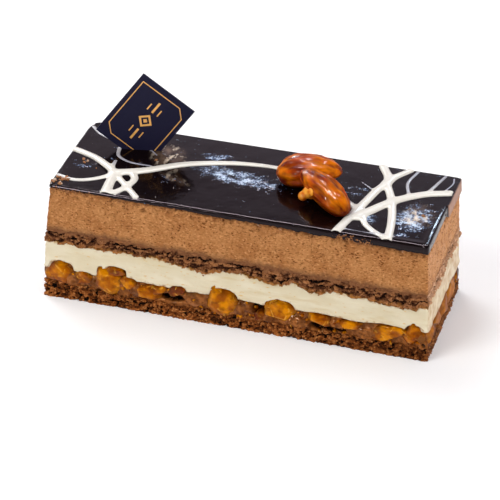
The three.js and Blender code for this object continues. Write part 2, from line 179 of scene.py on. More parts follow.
# Nut pieces on the other sides are drawn as in the solids, from a seed for each side.
NUT_SEEDS = {"right": 11, "back": 23, "left": 37}
DRAW_FACTOR, DRAW_STEP, DRAW_RANGE = 1664525, 1013904223, 2 ** 32
NUT_SPACING = (9, 13)
NUT_HALF_LENGTH = (3.8, 6.2)
NUT_HALF_HEIGHT = (2.8, 5.4)
NUT_TILT = (-30, 30)
NUT_LIFT = (0, 1.2)
NUT_TINT = (0.15, 0.8)
NUT_SETTLE = 0.9
NUT_LENGTHS_APART = 1.7
NUT_END_MARGIN = 5
NUT_DEPTH = 3.4
NUT_PROUD = 1.0
NUT_SKIN = 0.1
NUT_FOOT = 5.6
NUT_FILL = 1.18
# The nuts' shapes: how square they are in depth and in outline, waves round the outline, and flats.
NUT_KINDS = 6
NUT_SHAPE_SEED = 4
NUT_FINENESS = 4
NUT_SQUARE = 3.2
NUT_BLOCKY = 2.7
NUT_WAVES = ((2, 0.07), (3, 0.07), (5, 0.04))
NUT_FACE_TURN, NUT_FACE_LEVEL = (-0.35, 0.35), (0.82, 0.95)
NUT_FLATS = 4
NUT_FLAT_TURN, NUT_FLAT_FACING, NUT_FLAT_LEVEL = (-1, 1), (-1.0, -0.2), (0.78, 0.95)
NUT_DENTS = {"Dent Size": 3.2, "Dent Depth": 0.5, "Seed": 2.0}
# Soft mounds of caramel between the nuts at the front: place, height, half length and half height.
MOUNDS = (
    (-65.5, 9.5, 4.0, 3.2), (-56.0, 10.0, 3.8, 3.6), (-39.0, 8.6, 3.6, 3.0), (-15.4, 9.7, 5.4, 4.2),
    (4.6, 9.0, 3.8, 4.4), (26.0, 7.6, 5.6, 2.8), (52.8, 7.8, 5.6, 2.8), (14.0, 7.2, 2.8, 2.2),
    (41.0, 8.8, 4.0, 2.6),
)
MOUND_RISE = 1.0
MOUND_FULL = 0.3
# Hollows in the caramel at the front, painted dark as painted shade: place, height, half length, half height
# and depth.
HOLLOWS = ((-24.5, 8.6, 5.5, 1.7, 3.0), (10.4, 10.8, 2.8, 2.6, 3.0), (37.6, 7.0, 8.0, 1.7, 3.0))
# How deep a hollow goes before its painted shade is full.
HOLLOW_DARK = 1.2
CARAMEL_FRONT = 6

# Glaze: how far it hangs over the mousse, and the height of its sole.
GLAZE_OVERHANG = 0.45
GLAZE_SOLE = 0.25
# The lip's section: how far in from the edge, and how far below the top.
# A narrow flat near the top catches the light.
LIP = (
    (0, 0.9), (0.06, 0.6), (0.22, 0.38), (0.5, 0.15), (0.55, 0.118), (0.75, 0.012), (0.78, 0.004), (0.9, 0),
)
LIP_RUN, LIP_DROP = LIP[-1][0], LIP[0][1]
LIP_SUPPORT = 0.25
LIP_WOBBLE = 0.1
LIP_WOBBLE_STEP = 2.5
LIP_WOBBLE_SEED = 61
# Sides of the bar with a rounded lip, in ring order: front, right and left.
LIP_SIDES = (0, 1, 3)
GLAZE_BACK_LIP = 0.05
GLAZE_SLANT = 0.35
GLAZE_CROWN = 0.5
GLAZE_FRONT_CROWN = 0.1
GLAZE_SAG = 0.12
GLAZE_SAG_RUN = 2.5
# Slow waves of the glaze's top: height, and run along X and Y.
GLAZE_WAVES = ((0.05, 10, 23), (0.05, -29, 7), (0.02, 4.6, 5.1))
GLAZE_GRID = 1.0
GLAZE_GRID_MARGIN = 0.8
# A raised rim along the front part of the right end and the right part of the front.
RIM_RISE = 0.4
RIM_INSET = 1.6
RIM_WIDTH = 0.9
RIM_END_Y = (-4.0, 4.0)
RIM_FRONT_X = (44.0, 66.0)
# The cut face at the back of the right end: where it starts, how far it stands out and how far down it goes.
GLAZE_STEP_Y = 4.0
GLAZE_STEP_OUT = 0.6
GLAZE_STEP_RUN = 1
GLAZE_CUT_DEEPER = 1.9
GLAZE_CUT_RUN = 3.0
# Its lip is sharper, dull on its lowest rows and half dull on the others.
GLAZE_CUT_LIP = 0.3
GLAZE_CUT_RIM = 0.45
GLAZE_CUT_ROWS = 2

# Rough patches of the glaze with painted glints and a painted haze, and smeared patches: place, half sizes,
# turn in degrees and strength.
ROUGH_GLINT_PATCHES = (
    (-6.0, 1.4, 30.0, 8.5, -9, 1.1), (65.5, -8.0, 11.5, 16.0, 0, 1.25), (-37.0, 10.0, 7.5, 10.0, 30, 0.35),
    (50.5, -13.0, 4.5, 5.0, 0, 1.1), (39.0, 5.0, 9.0, 7.0, 0, 0.5), (-66.0, -6.0, 8.0, 6.0, 0, 0.55),
    (-30.0, -8.0, 9.0, 6.0, -25, 0.4), (-18.0, 14.5, 11.0, 5.5, -8, 0.95), (-57.0, 2.0, 4.0, 5.0, 0, 0.5),
    (64.0, -20.5, 6.0, 3.0, 0, 1.0),
)
# In the smeared patches a brown film is painted, with pale spots that are partly smear and partly painted
# highlight.
SMEARED = (
    (-36.5, 9.0, 8.5, 14.0, 30, 1.3), (-29.5, -6.5, 9.0, 3.0, -25, 0.5), (66.5, -6.0, 8.0, 11.0, 0, 0.9),
)
PATCH_FULL = 0.2
# Stray crumbs on the glaze: place, radius and amount.
GLAZE_CRUMBS = (
    (-71.0, -20.0, 5.0, 2.4), (-68.0, -5.0, 4.0, 0.25), (-59.5, -8.0, 2.5, 0.3), (-29.0, -6.0, 7.0, 0.1),
    (-37.5, 10.0, 7.0, 0.18), (68.0, -9.0, 5.0, 0.1),
)
# Where the mousse is torn up over the glaze's edge at the front, how far and how finely.
# Elsewhere it is torn a little.
TORN_SPANS = ((-75.0, -56.0), (38.0, 55.0))
TORN_FADE = 3.0
TORN_RISE = 1.3
TORN_STEP = 1.3
TORN_SEED = 71
TORN_FRONT = -22.0
LEAST_TORN = 0.3

# Loose crumbs: how many a square metre, least and most half size, least and most tint, and seed.
CRUMBS = {
    "base_sponge_crumbs": (8e5, (0.2, 0.6), (0.0, 0.0), 3),
    "thin_sponge_crumbs": (7e5, (0.2, 0.6), (0.0, 0.0), 5),
    "nut_chips": (4e4, (0.4, 1.3), (0.0, 0.9), 8),
    "cream_crumbs": (3e5, (0.15, 0.5), (0.3, 0.7), 10),
    "mousse_crumbs": (1.2e6, (0.2, 0.9), (0.2, 0.8), 12),
    "torn_crumbs": (1.4e6, (0.15, 0.5), (0.2, 0.65), 16),
    "glaze_crumbs": (2.8e5, (0.25, 1.0), (0.2, 1.0), 14),
}
CRUMB_KINDS, CRUMB_CORNERS = 4, 9
# The crumbs' least height over the floor, and where up the cream and the mousse they come in.
CRUMB_FLOOR = 0.8
CREAM_CRUMB_SHARES = (0.9, 0.99)
MOUSSE_CRUMB_SHARES = (0.93, 0.97)

# Drizzle strokes: points along the glaze, the width at the start and at the end.
STROKES = (
    (((-73.3, 4), (-64, 0.2), (-57, -4.8), (-52, -9.2)), (3.3, 3.4)),
    (((-73.2, -16.2), (-66, -18), (-59, -15.4), (-52.6, -9.8)), (1.8, 2.5)),
    (((-52.4, -9.2), (-52.2, -16), (-51.4, -23.4)), (3.6, 4.4)),
    (((-52, -9.6), (-45.6, -16.6), (-39.4, -23.2)), (2.7, 2.6)),
    (((-45.6, -7.8), (-43.9, -11.7), (-45.4, -18), (-48.6, -23.2)), (3, 3)),
    (((-53, -9), (-42, -3.9), (-29, 4.9), (-14, 10.7), (0, 12.9), (11, 12.8)), (4.4, 2.3)),
    (((-57.2, 9.8), (-55.4, 3.8), (-49.6, 0.4), (-41, 0)), (1.7, 0.8)),
    (((-55.2, 10.8), (-50.4, 12.4), (-45.4, 11.9), (-41.4, 8.6)), (0.9, 0.7)),
    (((-55.4, -0.2), (-55.1, -4.6)), (1.4, 1.7)),
    (((-72.8, 23.4), (-67.6, 18.2), (-60, 14.2)), (1.5, 1.1)),
    (((44.8, 26.4), (49.1, 16.8), (46.7, 6.8), (44.2, -5.2), (40, -25)), (3.5, 3.7)),
    (((55.4, 26.4), (51.2, 19.8), (49.4, 14.8)), (3, 3.6)),
    (((49.4, 13.8), (54.4, 1.8), (58, -12.2), (59.9, -25.2)), (3.2, 3.2)),
    (((74.2, 13.8), (64.6, 9.8), (54.8, 1.6), (48, -8.2), (44.8, -13.2)), (3.9, 4.6)),
    (((46.4, -11.2), (50, -18.2), (59, -25)), (2.6, 2.3)),
    (((37.8, -1.8), (42.8, -7.2)), (1, 3.2)),
    (((58.6, 26.2), (57, 16.8), (59.6, 7.8)), (1.2, 1.4)),
    (((69.6, 26), (66.2, 12.4)), (1.2, 1.6)),
    # A thin strand along the front edge, which also stands for a pale line along the lip there: partly
    # drizzle, partly painted highlight.
    (((42, -22.3), (54, -22.7), (62, -22.4)), (0.6, 0.5)),
    (((73.1, 25.1), (73.6, 21), (72.1, 15.6)), (0.8, 0.7)),
    (((39.6, 12.6), (44.6, 8.6)), (0.6, 0.7)),
)
STROKE_CELL = 0.25
STROKE_SAMPLE = 0.2
STROKE_WEB = 0.45
STROKE_SWELL = 0.4
STROKE_SOFTEN = 3
STROKE_LEAST = 0.1
STROKE_SINK = 0.25
STROKE_BED = 0.03
STROKE_THINNEST = 0.05
# How far a stroke is felt, the bounds of its pull and its least weight.
STROKE_REACH = 5
STROKE_PULL = 8
STROKE_NONE = 1e-12
# How far inside the glaze's edge the cells stay, and the rim's points that are drawn to the outline.
STROKE_INSET, STROKE_RIM_INSET = 0.15, 0.5
# Half widths between which a stroke goes from a thin strand to full white.
STROKE_BODY = (0.4, 1.3)
FLAT_SLOPE = 1e-9

# Almonds, close to their solids: sizes, taper, droop, place, turns in degrees, and the wrinkles' seed.
ALMONDS = {
    "almond_back": {
        "length": 25.6, "width": 14.2, "thickness": 11.3, "taper": 0.24, "droop": 1.0,
        "place": (21.2, 4.6), "yaw": 8, "pitch": 7.5, "roll": 6, "seed": 2.0,
    },
    "almond_front": {
        "length": 26.6, "width": 12.2, "thickness": 9.2, "taper": -0.06, "droop": 0.4,
        "place": (31.0, -7.9), "yaw": -34, "pitch": -16.5, "roll": -5, "seed": 9.0,
    },
}
ALMOND_ROWS = 72
ALMOND_TURNS = 96
ALMOND_RIDGES = 7
ALMOND_RIDGE = 0.035
ALMOND_TWIST = 2.0
ALMOND_REST = 0.15
ALMOND_WRINKLES = {"Wrinkle Size": 2.6, "Wrinkle Depth": 0.85, "Length Stretch": 0.3}
# Heights over the bar between which the painted shade on the almonds and the drop fades from dark to their
# own colour.
ALMOND_SHADE, DROP_SHADE = (1.5, 7.0), (2.5, 5.5)
# The drop of caramel: centres and radii of its lobes, and how they are fused.
CARAMEL_LOBES = (
    (24.8, -9.3, 55.6, 2.4), (22.8, -10.0, 54.0, 1.9), (26.9, -10.8, 57.0, 1.9), (25.6, -8.0, 54.6, 2.4),
)
DROP_FINENESS = 4
DROP_CELL = 0.3
DROP_SOFTEN_ROUNDS, DROP_SOFTEN = 12, 0.5

# Card, as in its solid, with a foil border and a plain ornament.
CARD_SIZE = (31.0, 25.0, 0.5)
CARD_CENTRE = (-47.3, 12.5, 62.9)
CARD_YAW, CARD_LEAN, CARD_ROLL = 12, 5, 52.5
CARD_BEVEL = 0.08
CARD_BEVEL_STEPS = 2
BORDER_INSET = (2.7, 2.0)
BORDER_CLIP = 3.4
BORDER_WIDTH = 0.38
FOIL_HEIGHT = 0.03
LOZENGE_REACH, LOZENGE_WIDTH, LOZENGE_HEART = 2.6, 0.8, 1.0
# Rules on either side of the lozenge: near end, far end, place up the card and half width.
RULES = ((4.4, 9.6, 0.0, 0.45), (4.4, 7.4, -2.4, 0.25), (4.4, 7.4, 2.4, 0.25))

# The photograph's camera: its angle, distance, offset and lens, and where its frame stands.
CAMERA_AZIMUTH, CAMERA_ELEVATION = 16.93, 32.03
CAMERA_DISTANCE = 1173.75
CAMERA_OFFSET = (-1.63, 16.85)
CAMERA_SHIFT = (0.6, 0.1, 0.0)
CAMERA_LENS, CAMERA_SENSOR = 216.0, 36.0
CAMERA_NEAR, CAMERA_FAR = 0.01, 20.0

# The studio: its floor in metres, and its walls, which are brighter low down and behind the bar.
FLOOR_REACH, FLOOR_CELLS = 3.0, 8
WALL_HEIGHTS, WALL_BRIGHTNESS = (0.46, 0.68), (0.68, 0.26)
WALL_DEPTHS, WALL_FRONT_SHARE = (-0.5, 0.3), 0.45
# Its lights, in metres and watts: place, target, size, power, colour, and whether it is only mirrored.
WHITE, COLD = (1.0, 1.0, 1.0), (0.62, 0.83, 1.0)
LIGHTS = (
    ("key", (-0.55, 0.55, 1.0), (0, 0, 0.02), (0.7, 0.7), 6.6, WHITE, False),
    ("front_top", (-0.5, -0.7, 0.85), (0, 0, 0.02), (0.6, 0.6), 7.2, WHITE, False),
    ("right_fill", (1.0, -0.2, 0.55), (0.07, 0, 0.03), (0.5, 0.5), 6.2, WHITE, False),
    ("lip_strip", (0.0, 0.05, 0.8), (0, 0, 0.05), (0.6, 0.06), 10.5, WHITE, True),
    ("sparkle", (0.03, 1.24, 0.8), (0, 0, 0.05), (0.2, 0.2), 7.0, COLD, True),
    ("shine", (-0.55, 0.6, 0.75), (0.03, 0, 0.06), (0.3, 0.04), 13.0, WHITE, True),
    ("glint", (-0.45, -0.9, 0.62), (0, 0, 0.02), (0.13, 0.13), 9.0, WHITE, True),
)


def add_node(tree, kind, feeds=None, **settings):
    """Adds a node. Feeds maps an input's name or number to a value or to another node's socket."""
    node = tree.nodes.new(kind)
    for name, value in settings.items():
        setattr(node, name, value)
    for key, value in (feeds or {}).items():
        if isinstance(value, bpy.types.NodeSocket):
            tree.links.new(value, node.inputs[key])
        else:
            node.inputs[key].default_value = value
    return node


def calc(tree, operation, first, second):
    """One sum on two values or sockets."""
    return add_node(tree, "ShaderNodeMath", {0: first, 1: second}, operation=operation).outputs[0]


def ramp(tree, value, low, high, least=0.0, most=1.0):
    """A value moved from one range to another and held to it."""
    feeds = {"Value": value, "From Min": low, "From Max": high, "To Min": least, "To Max": most}
    return add_node(tree, "ShaderNodeMapRange", feeds).outputs[0]


def mix(tree, share, first, second):
    """A colour between two, by a share."""
    return add_node(tree, "ShaderNodeMix", {0: share, 6: first, 7: second}, data_type="RGBA").outputs[2]


def tone(red, green, blue):
    """A linear colour from screen values of 0 to 255."""
    def linear(value):
        share = value / 255
        return share / 12.92 if share < 0.04045 else ((share + 0.055) / 1.055) ** 2.4
    return linear(red), linear(green), linear(blue), 1.0


class Finish:
    """One material, made from patterns that are sized in millimetres."""

    def __init__(self, name, constants):
        self.material = bpy.data.materials.new(name)
        self.material.use_nodes = True
        self.tree = self.material.node_tree
        self.shader = self.tree.nodes["Principled BSDF"]
        for key, value in constants.items():
            self.shader.inputs[key].default_value = value
        coordinates = self.add("ShaderNodeTexCoord")
        self.place = self.stretched(coordinates.outputs["Object"], (1 / MM,) * 3)

    def add(self, kind, feeds=None, **settings):
        return add_node(self.tree, kind, feeds, **settings)

    def stretched(self, vector, factors):
        return self.add("ShaderNodeVectorMath", {0: vector, 1: factors}, operation="MULTIPLY").outputs[0]

    def axis(self, number):
        """One coordinate of the place: 0 along the bar, 1 across it, 2 upward."""
        return self.add("ShaderNodeSeparateXYZ", {0: self.place}).outputs[number]

    def noise(self, size, stretch=(1, 1, 1), detail=2.0, seed=0.0, place=None):
        vector = self.stretched(place or self.place, tuple(share / size for share in stretch))
        feeds = {"Vector": vector, "W": seed, "Scale": 1.0, "Detail": detail}
        return self.add("ShaderNodeTexNoise", feeds, noise_dimensions="4D").outputs[0]

    def veins(self, size, seed):
        """Distance to the nearest border between cells of a size."""
        feeds = {"Vector": self.stretched(self.place, (1 / size,) * 3), "W": seed, "Scale": 1.0}
        node = self.add("ShaderNodeTexVoronoi", feeds, voronoi_dimensions="4D", feature="DISTANCE_TO_EDGE")
        return node.outputs["Distance"]

    def ramp(self, value, low, high, least=0.0, most=1.0):
        return ramp(self.tree, value, low, high, least, most)

    def total(self, first, second):
        return calc(self.tree, "ADD", first, second)

    def product(self, first, second):
        return calc(self.tree, "MULTIPLY", first, second)

    def larger(self, first, second):
        return calc(self.tree, "MAXIMUM", first, second)

    def mix(self, share, first, second):
        return mix(self.tree, share, first, second)

    def attribute(self, name, output="Fac"):
        return self.add("ShaderNodeAttribute", attribute_name=name).outputs[output]

    def uneven(self, name, swing, size, detail=2.0, seed=0.0):
        """A value that the piece carries, swung up and down by a noise of a size."""
        wander = self.ramp(self.noise(size, detail=detail, seed=seed), 0.3, 0.7, -swing, swing)
        return self.total(self.attribute(name), wander)

    def feed(self, key, socket):
        self.tree.links.new(socket, self.shader.inputs[key])

    def colour(self, socket):
        self.feed("Base Color", socket)

    def bump(self, height, depth):
        node = self.add("ShaderNodeBump", {"Height": height, "Distance": depth * MM, "Strength": 1.0})
        self.feed("Normal", node.outputs[0])


def mousse_finish():
    """Matte aerated chocolate: golden flecks, pores and low places painted dark as painted shade, a moist
    foot, painted shade under the glaze, and an end that the knife smeared.
    """
    finish = Finish("mousse", {"Roughness": 0.85, "Specular IOR Level": 0.08})
    broad = finish.mix(finish.ramp(finish.noise(8.0), 0.35, 0.65), tone(190, 132, 80), tone(170, 112, 64))
    blot = finish.ramp(finish.noise(2.2, detail=3.0, seed=5.0), 0.5, 0.75, 0.0, 0.55)
    mottled = finish.mix(blot, broad, tone(142, 87, 44))
    flecks = finish.ramp(finish.noise(0.9, (0.8, 0.8, 1.2), 3.0, 3.0), 0.52, 0.68, 0.0, 0.75)
    flecked = finish.mix(flecks, mottled, tone(216, 156, 98))
    wipe = finish.ramp(finish.noise(3.0, seed=6.0), 0.3, 0.7, 0.1, 0.6)
    smeared = finish.mix(finish.product(finish.attribute("end"), wipe), flecked, tone(216, 170, 132))
    crowd = finish.ramp(finish.noise(5.0, seed=9.0), 0.35, 0.65, 0.3, 1.0)
    # Pores painted dark, more in some places than others: painted shade in tiny holes.
    pores = finish.ramp(finish.noise(0.7, (0.7, 0.7, 1.2), 2.0, 7.0), 0.55, 0.63)
    pitted = finish.mix(finish.product(pores, crowd), smeared, tone(92, 46, 15))
    # Low places of the relief painted dark: painted shade in the hollows.
    hollow = finish.ramp(finish.attribute("relief"), -0.5, -0.08, 0.85, 0.0)
    deep = finish.mix(hollow, pitted, tone(84, 44, 16))
    level = finish.uneven("share", 0.05, 2.2)
    moist = finish.mix(finish.ramp(level, 0.0, 0.13, 0.75, 0.0), deep, tone(124, 84, 56))
    # Darker just under the glaze: partly torn crumb, partly painted shade under the glaze's overhang.
    finish.colour(finish.mix(finish.ramp(level, 0.92, 1.02, 0.0, 0.75), moist, tone(112, 64, 30)))
    finish.bump(finish.noise(0.6, detail=3.0), 0.4)
    return finish.material


def sponge_finish(name):
    """Dark sponge in flakes: painted light on crests, painted shade in low places, sunken flakes, cracks and
    pits, a moist top, a foot stained by cream, and darker toward the right.
    """
    finish = Finish(name, {"Roughness": 0.9, "Specular IOR Level": 0.06})
    sponge = SPONGES[name]
    dark, brown, pale, warm = (tone(*sponge[shade]) for shade in ("dark", "brown", "pale", "warm"))
    relief = finish.uneven("relief", 0.35, 0.5, 3.0, 5.0)
    # Low places painted dark and crests painted pale: painted shade and painted light that follow the relief.
    low = finish.mix(finish.ramp(relief, -0.55, 0.0), dark, brown)
    crumb = finish.mix(finish.ramp(relief, 0.0, 0.6), low, pale)
    # Sunken flakes painted darker as painted shade, raised flakes warmer.
    shaded = finish.mix(finish.ramp(finish.attribute("flake"), 0.05, 0.35, 0.5, 0.0), crumb, dark)
    flaked = finish.mix(finish.ramp(finish.attribute("flake"), 0.6, 0.95, 0.0, 0.6), shaded, warm)
    level = finish.uneven("share", 0.2, 2.0)
    banded = finish.mix(finish.ramp(level, 0.68, 0.84, 0.0, sponge["band"]), flaked, tone(140, 93, 61))
    stained = finish.mix(finish.ramp(level, -0.05, 0.16, sponge["stain"], 0.0), banded, tone(182, 122, 58))
    smear = finish.ramp(finish.noise(2.5, seed=6.0), 0.3, 0.6, 0.2 * sponge["smear"], sponge["smear"])
    wiped = finish.mix(finish.product(finish.attribute("end"), smear), stained, tone(216, 172, 136))
    # Darker toward the right end.
    darkened_right = finish.mix(finish.ramp(finish.axis(0), *DARKER_RIGHT_SPAN, 0.0, sponge["darker_right"]), wiped, dark)
    # Pits and cracks painted nearly black: painted shade in them.
    finish.colour(finish.mix(finish.ramp(finish.attribute("pit"), 0.4, 0.7), darkened_right, tone(12, 5, 2)))
    finish.bump(finish.noise(0.5, detail=3.0), 0.35)
    return finish.material


def cream_finish():
    """Pale set cream, wiped by the knife: caramel flecks, and stains along its foot and its top."""
    finish = Finish("cream", {"Roughness": 0.5, "Specular IOR Level": 0.2})
    patch = finish.noise(7.0, (0.5, 0.5, 1.4), 3.0)
    wiped = finish.mix(finish.ramp(patch, 0.35, 0.7), tone(228, 217, 190), tone(216, 201, 166))
    smear = finish.ramp(finish.noise(3.0, (0.3, 0.3, 1.6), 3.0, 4.0), 0.56, 0.72, 0.0, 0.5)
    smeared = finish.mix(smear, wiped, tone(208, 184, 132))
    flecks = finish.ramp(finish.noise(1.6, (0.6, 0.6, 1.5), 2.0, 8.0), 0.64, 0.72, 0.0, 0.7)
    flecked = finish.mix(flecks, smeared, tone(216, 172, 92))
    drag = finish.ramp(finish.noise(4.0, detail=3.0, seed=7.0), 0.4, 0.66, 0.1, 0.85)
    dragged = finish.mix(finish.product(finish.attribute("end"), drag), flecked, tone(180, 140, 96))
    level = finish.uneven("share", 0.08, 1.5, seed=2.0)
    footed = finish.mix(finish.ramp(level, -0.04, 0.05, 0.8, 0.0), dragged, tone(172, 120, 64))
    finish.colour(finish.mix(finish.ramp(level, 0.92, 1.04, 0.0, 0.9), footed, tone(196, 150, 84)))
    finish.bump(finish.noise(1.6, (0.25, 0.25, 1.0), 3.0), 0.2)
    return finish.material


def caramel_finish():
    """Soft caramel that holds the nuts: smooth and wet, with painted shade: nearly black in its hollows and
    darker under the cream.
    """
    finish = Finish("soft_caramel", {
        "Specular IOR Level": 0.4, "Specular Tint": tone(255, 190, 130),
        "Coat Weight": 0.06, "Coat Roughness": 0.08,
    })
    broad = finish.mix(finish.ramp(finish.noise(3.0), 0.38, 0.62), tone(156, 92, 42), tone(92, 45, 10))
    blot = finish.ramp(finish.noise(1.4, seed=6.0), 0.52, 0.7, 0.0, 0.8)
    brown = finish.mix(blot, broad, tone(74, 32, 4))
    level = finish.uneven("share", 0.2, 2.5)
    # Darker near the top: painted shadow under the cream's overhang.
    under = finish.mix(finish.ramp(level, 0.75, 1.05, 0.0, 0.75), brown, tone(78, 45, 14))
    # Pits and hollows painted nearly black: painted shade in them.
    finish.colour(finish.mix(finish.attribute("pit"), under, tone(16, 6, 2)))
    finish.feed("Roughness", finish.ramp(finish.attribute("end"), 0.0, 1.0, 0.24, 0.6))
    finish.bump(finish.noise(1.8), 0.4)
    return finish.material


def nut_finish():
    """Caramelised nuts, wet and clear: amber to red-brown by their tint, with pale veins, and rims painted
    dark, partly caramel and partly painted shade.
    """
    finish = Finish("nut_pieces", {
        "Specular IOR Level": 0.45, "Specular Tint": tone(255, 168, 36),
        "Coat Weight": 0.08, "Coat Roughness": 0.08,
    })
    tint = finish.total(finish.attribute("tint"), finish.ramp(finish.noise(4.0), 0.32, 0.68, -0.5, 0.45))
    amber = finish.mix(finish.ramp(tint, 0.0, 0.5), tone(212, 130, 0), tone(158, 80, 0))
    toasted = finish.mix(finish.ramp(tint, 0.5, 1.0), amber, tone(92, 26, 3))
    streak = finish.ramp(finish.noise(2.4, (0.7, 0.7, 1.0), 3.0, 2.0), 0.5, 0.68, 0.0, 0.85)
    streaked = finish.mix(streak, toasted, tone(110, 52, 0))
    vein = finish.ramp(finish.veins(6.0, 3.0), 0.01, 0.04, 0.55, 0.0)
    broken = finish.ramp(finish.noise(2.5, seed=8.0), 0.48, 0.6)
    veined = finish.mix(finish.product(vein, broken), streaked, tone(236, 176, 60))
    # Darker toward each nut's rim, where it turns in under the caramel: partly caramel, partly painted shade.
    rim = finish.uneven("face", 0.08, 1.5, seed=4.0)
    rimmed = finish.mix(finish.ramp(rim, 0.04, 0.42, 0.95, 0.0), veined, tone(56, 20, 0))
    finish.colour(finish.mix(finish.product(finish.attribute("end"), 0.5), rimmed, tone(146, 90, 44)))
    finish.feed("Roughness", finish.ramp(finish.attribute("end"), 0.0, 1.0, 0.2, 0.6))
    finish.bump(finish.noise(1.6, detail=3.0), 0.35)
    return finish.material


def glaze_finish():
    """Dark mirror glaze: wet, rough in patches with bluish-white glints and a bluish haze painted on as
    painted reflections, smeared in a few, and dull where the end was cut.
    """
    finish = Finish("glaze", {"Specular IOR Level": 0.21, "Specular Tint": tone(255, 233, 244)})
    # Where the rough patches are, broken up by noise: rougher, bumpier, and painted with glints and haze.
    patch = finish.ramp(finish.noise(3.0, (0.6, 1, 1), 4.0, 1.0), 0.34, 0.62, 0.35, 1.15)
    cloud = finish.product(finish.attribute("wrinkle"), patch)
    grains = finish.total(finish.noise(0.7, detail=1.5, seed=3.0), finish.noise(2.2, (0.7, 1, 1), 1.0, 4.0))
    speck = finish.total(finish.product(grains, 0.5), finish.product(cloud, 0.24))
    glint_spots = finish.ramp(speck, 0.65, 0.74)
    dark = finish.mix(finish.noise(14.0), tone(9, 2, 2), tone(14, 5, 4))
    # Bluish-white grains: painted glints, a painted reflection of a light in the rough patches.
    grain = finish.mix(finish.ramp(speck, 0.7, 0.86), tone(72, 100, 138), tone(212, 230, 248))
    # A bluish haze over the patches: painted reflection.
    reflection_hazed = finish.mix(finish.ramp(cloud, 0.3, 1.0, 0.0, 0.7), dark, tone(42, 52, 72))
    glint_painted = finish.mix(glint_spots, reflection_hazed, grain)
    # A brown film of smear, with pale spots that are partly smear and partly painted highlight.
    smear = finish.attribute("smear")
    streaks = finish.ramp(finish.noise(3.4, (1, 0.6, 1), 3.0, 9.0), 0.38, 0.66, 0.1, 0.75)
    filmed = finish.mix(finish.product(smear, streaks), glint_painted, tone(122, 100, 84))
    spots = finish.ramp(finish.noise(1.9, (1, 0.6, 1), 2.0, 12.0), 0.53, 0.68)
    smeared = finish.mix(finish.product(smear, spots), filmed, tone(230, 212, 188))
    cut = finish.attribute("cut")
    dull = finish.mix(finish.noise(2.0, detail=3.0), tone(138, 100, 82), tone(188, 154, 134))
    finish.colour(finish.mix(cut, smeared, dull))
    clouded = finish.ramp(glint_spots, 0.0, 1.0, 0.12, 0.25)
    finish.feed("Roughness", finish.larger(clouded, finish.ramp(cut, 0.0, 0.4, 0.0, 0.65)))
    fine = finish.product(finish.noise(0.8, detail=3.0, seed=7.0), finish.product(glint_spots, 1.4))
    broad = finish.product(finish.noise(7.0, seed=5.0), 1.3)
    lip = finish.product(finish.attribute("lip"), 0.3)
    ripples = finish.product(finish.noise(1.6, (0.4, 1, 1), 1.0, 8.0), lip)
    finish.bump(finish.total(ripples, finish.total(fine, broad)), 0.16)
    return finish.material


def drizzle_finish():
    """White icing: opaque where it is thick, greyer where it is a thin strand."""
    finish = Finish("drizzle", {"Roughness": 0.32, "Specular IOR Level": 0.3})
    thick = finish.mix(finish.noise(3.0), tone(235, 230, 219), tone(225, 219, 206))
    finish.colour(finish.mix(finish.attribute("body"), tone(150, 149, 163), thick))
    finish.bump(finish.noise(4.0), 0.1)
    return finish.material


def almond_finish():
    """Whole almonds in thin caramel: wet, streaked lengthwise, with painted shade in the wrinkles and
    underneath.
    """
    finish = Finish("caramelised_almond", {
        "Roughness": 0.3, "Specular IOR Level": 0.02,
        "Coat Weight": 0.05, "Coat Roughness": 0.05, "Coat IOR": 2.4,
    })
    kernel = finish.attribute("kernel", "Vector")
    streak = finish.noise(2.2, (0.2, 1, 1), 3.0, place=kernel)
    patch = finish.noise(4.5, (0.5, 1, 1), 2.0, 4.0, kernel)
    skin = finish.mix(finish.ramp(streak, 0.36, 0.64), tone(84, 14, 0), tone(190, 74, 0))
    warm = finish.mix(finish.ramp(patch, 0.44, 0.66), skin, tone(226, 122, 8))
    low, high = (HEIGHT + height for height in ALMOND_SHADE)
    # Darker low down: painted shade underneath.
    shaded = finish.mix(finish.ramp(finish.axis(2), low, high, 0.95, 0.0), warm, tone(68, 10, 0))
    # Darker in the wrinkles' grooves: painted shade.
    finish.colour(finish.mix(finish.ramp(finish.attribute("wrinkle"), 0.5, 0.74), shaded, tone(84, 16, 0)))
    finish.bump(finish.noise(1.1, (0.22, 1, 1), 3.0, 6.0, kernel), 0.16)
    return finish.material


def amber_finish():
    """A drop of clear amber caramel, with painted shade at its foot."""
    finish = Finish("amber_caramel", {
        "Roughness": 0.3, "Specular IOR Level": 0.04,
        "Coat Weight": 0.12, "Coat Roughness": 0.05, "Coat IOR": 2.4,
    })
    clear = finish.mix(finish.ramp(finish.noise(2.4), 0.42, 0.62), tone(250, 170, 54), tone(214, 106, 8))
    low, high = (HEIGHT + height for height in DROP_SHADE)
    # Darker low down: painted shade at the foot.
    finish.colour(finish.mix(finish.ramp(finish.axis(2), low, high, 0.9, 0.0), clear, tone(186, 78, 0)))
    finish.bump(finish.noise(1.4), 0.15)
    return finish.material


def card_finish():
    """Navy card with a fine paper grain."""
    finish = Finish("navy_card", {"Roughness": 0.5, "Specular IOR Level": 0.15})
    finish.colour(finish.mix(finish.noise(0.5, detail=3.0), tone(18, 17, 42), tone(25, 24, 50)))
    finish.bump(finish.noise(0.25), 0.02)
    return finish.material


def foil_finish():
    """Warm gold print, a little worn."""
    finish = Finish("gold_print", {"Roughness": 0.35, "Metallic": 0.2})
    finish.colour(finish.mix(finish.noise(1.2, detail=3.0), tone(240, 184, 100), tone(222, 160, 78)))
    return finish.material


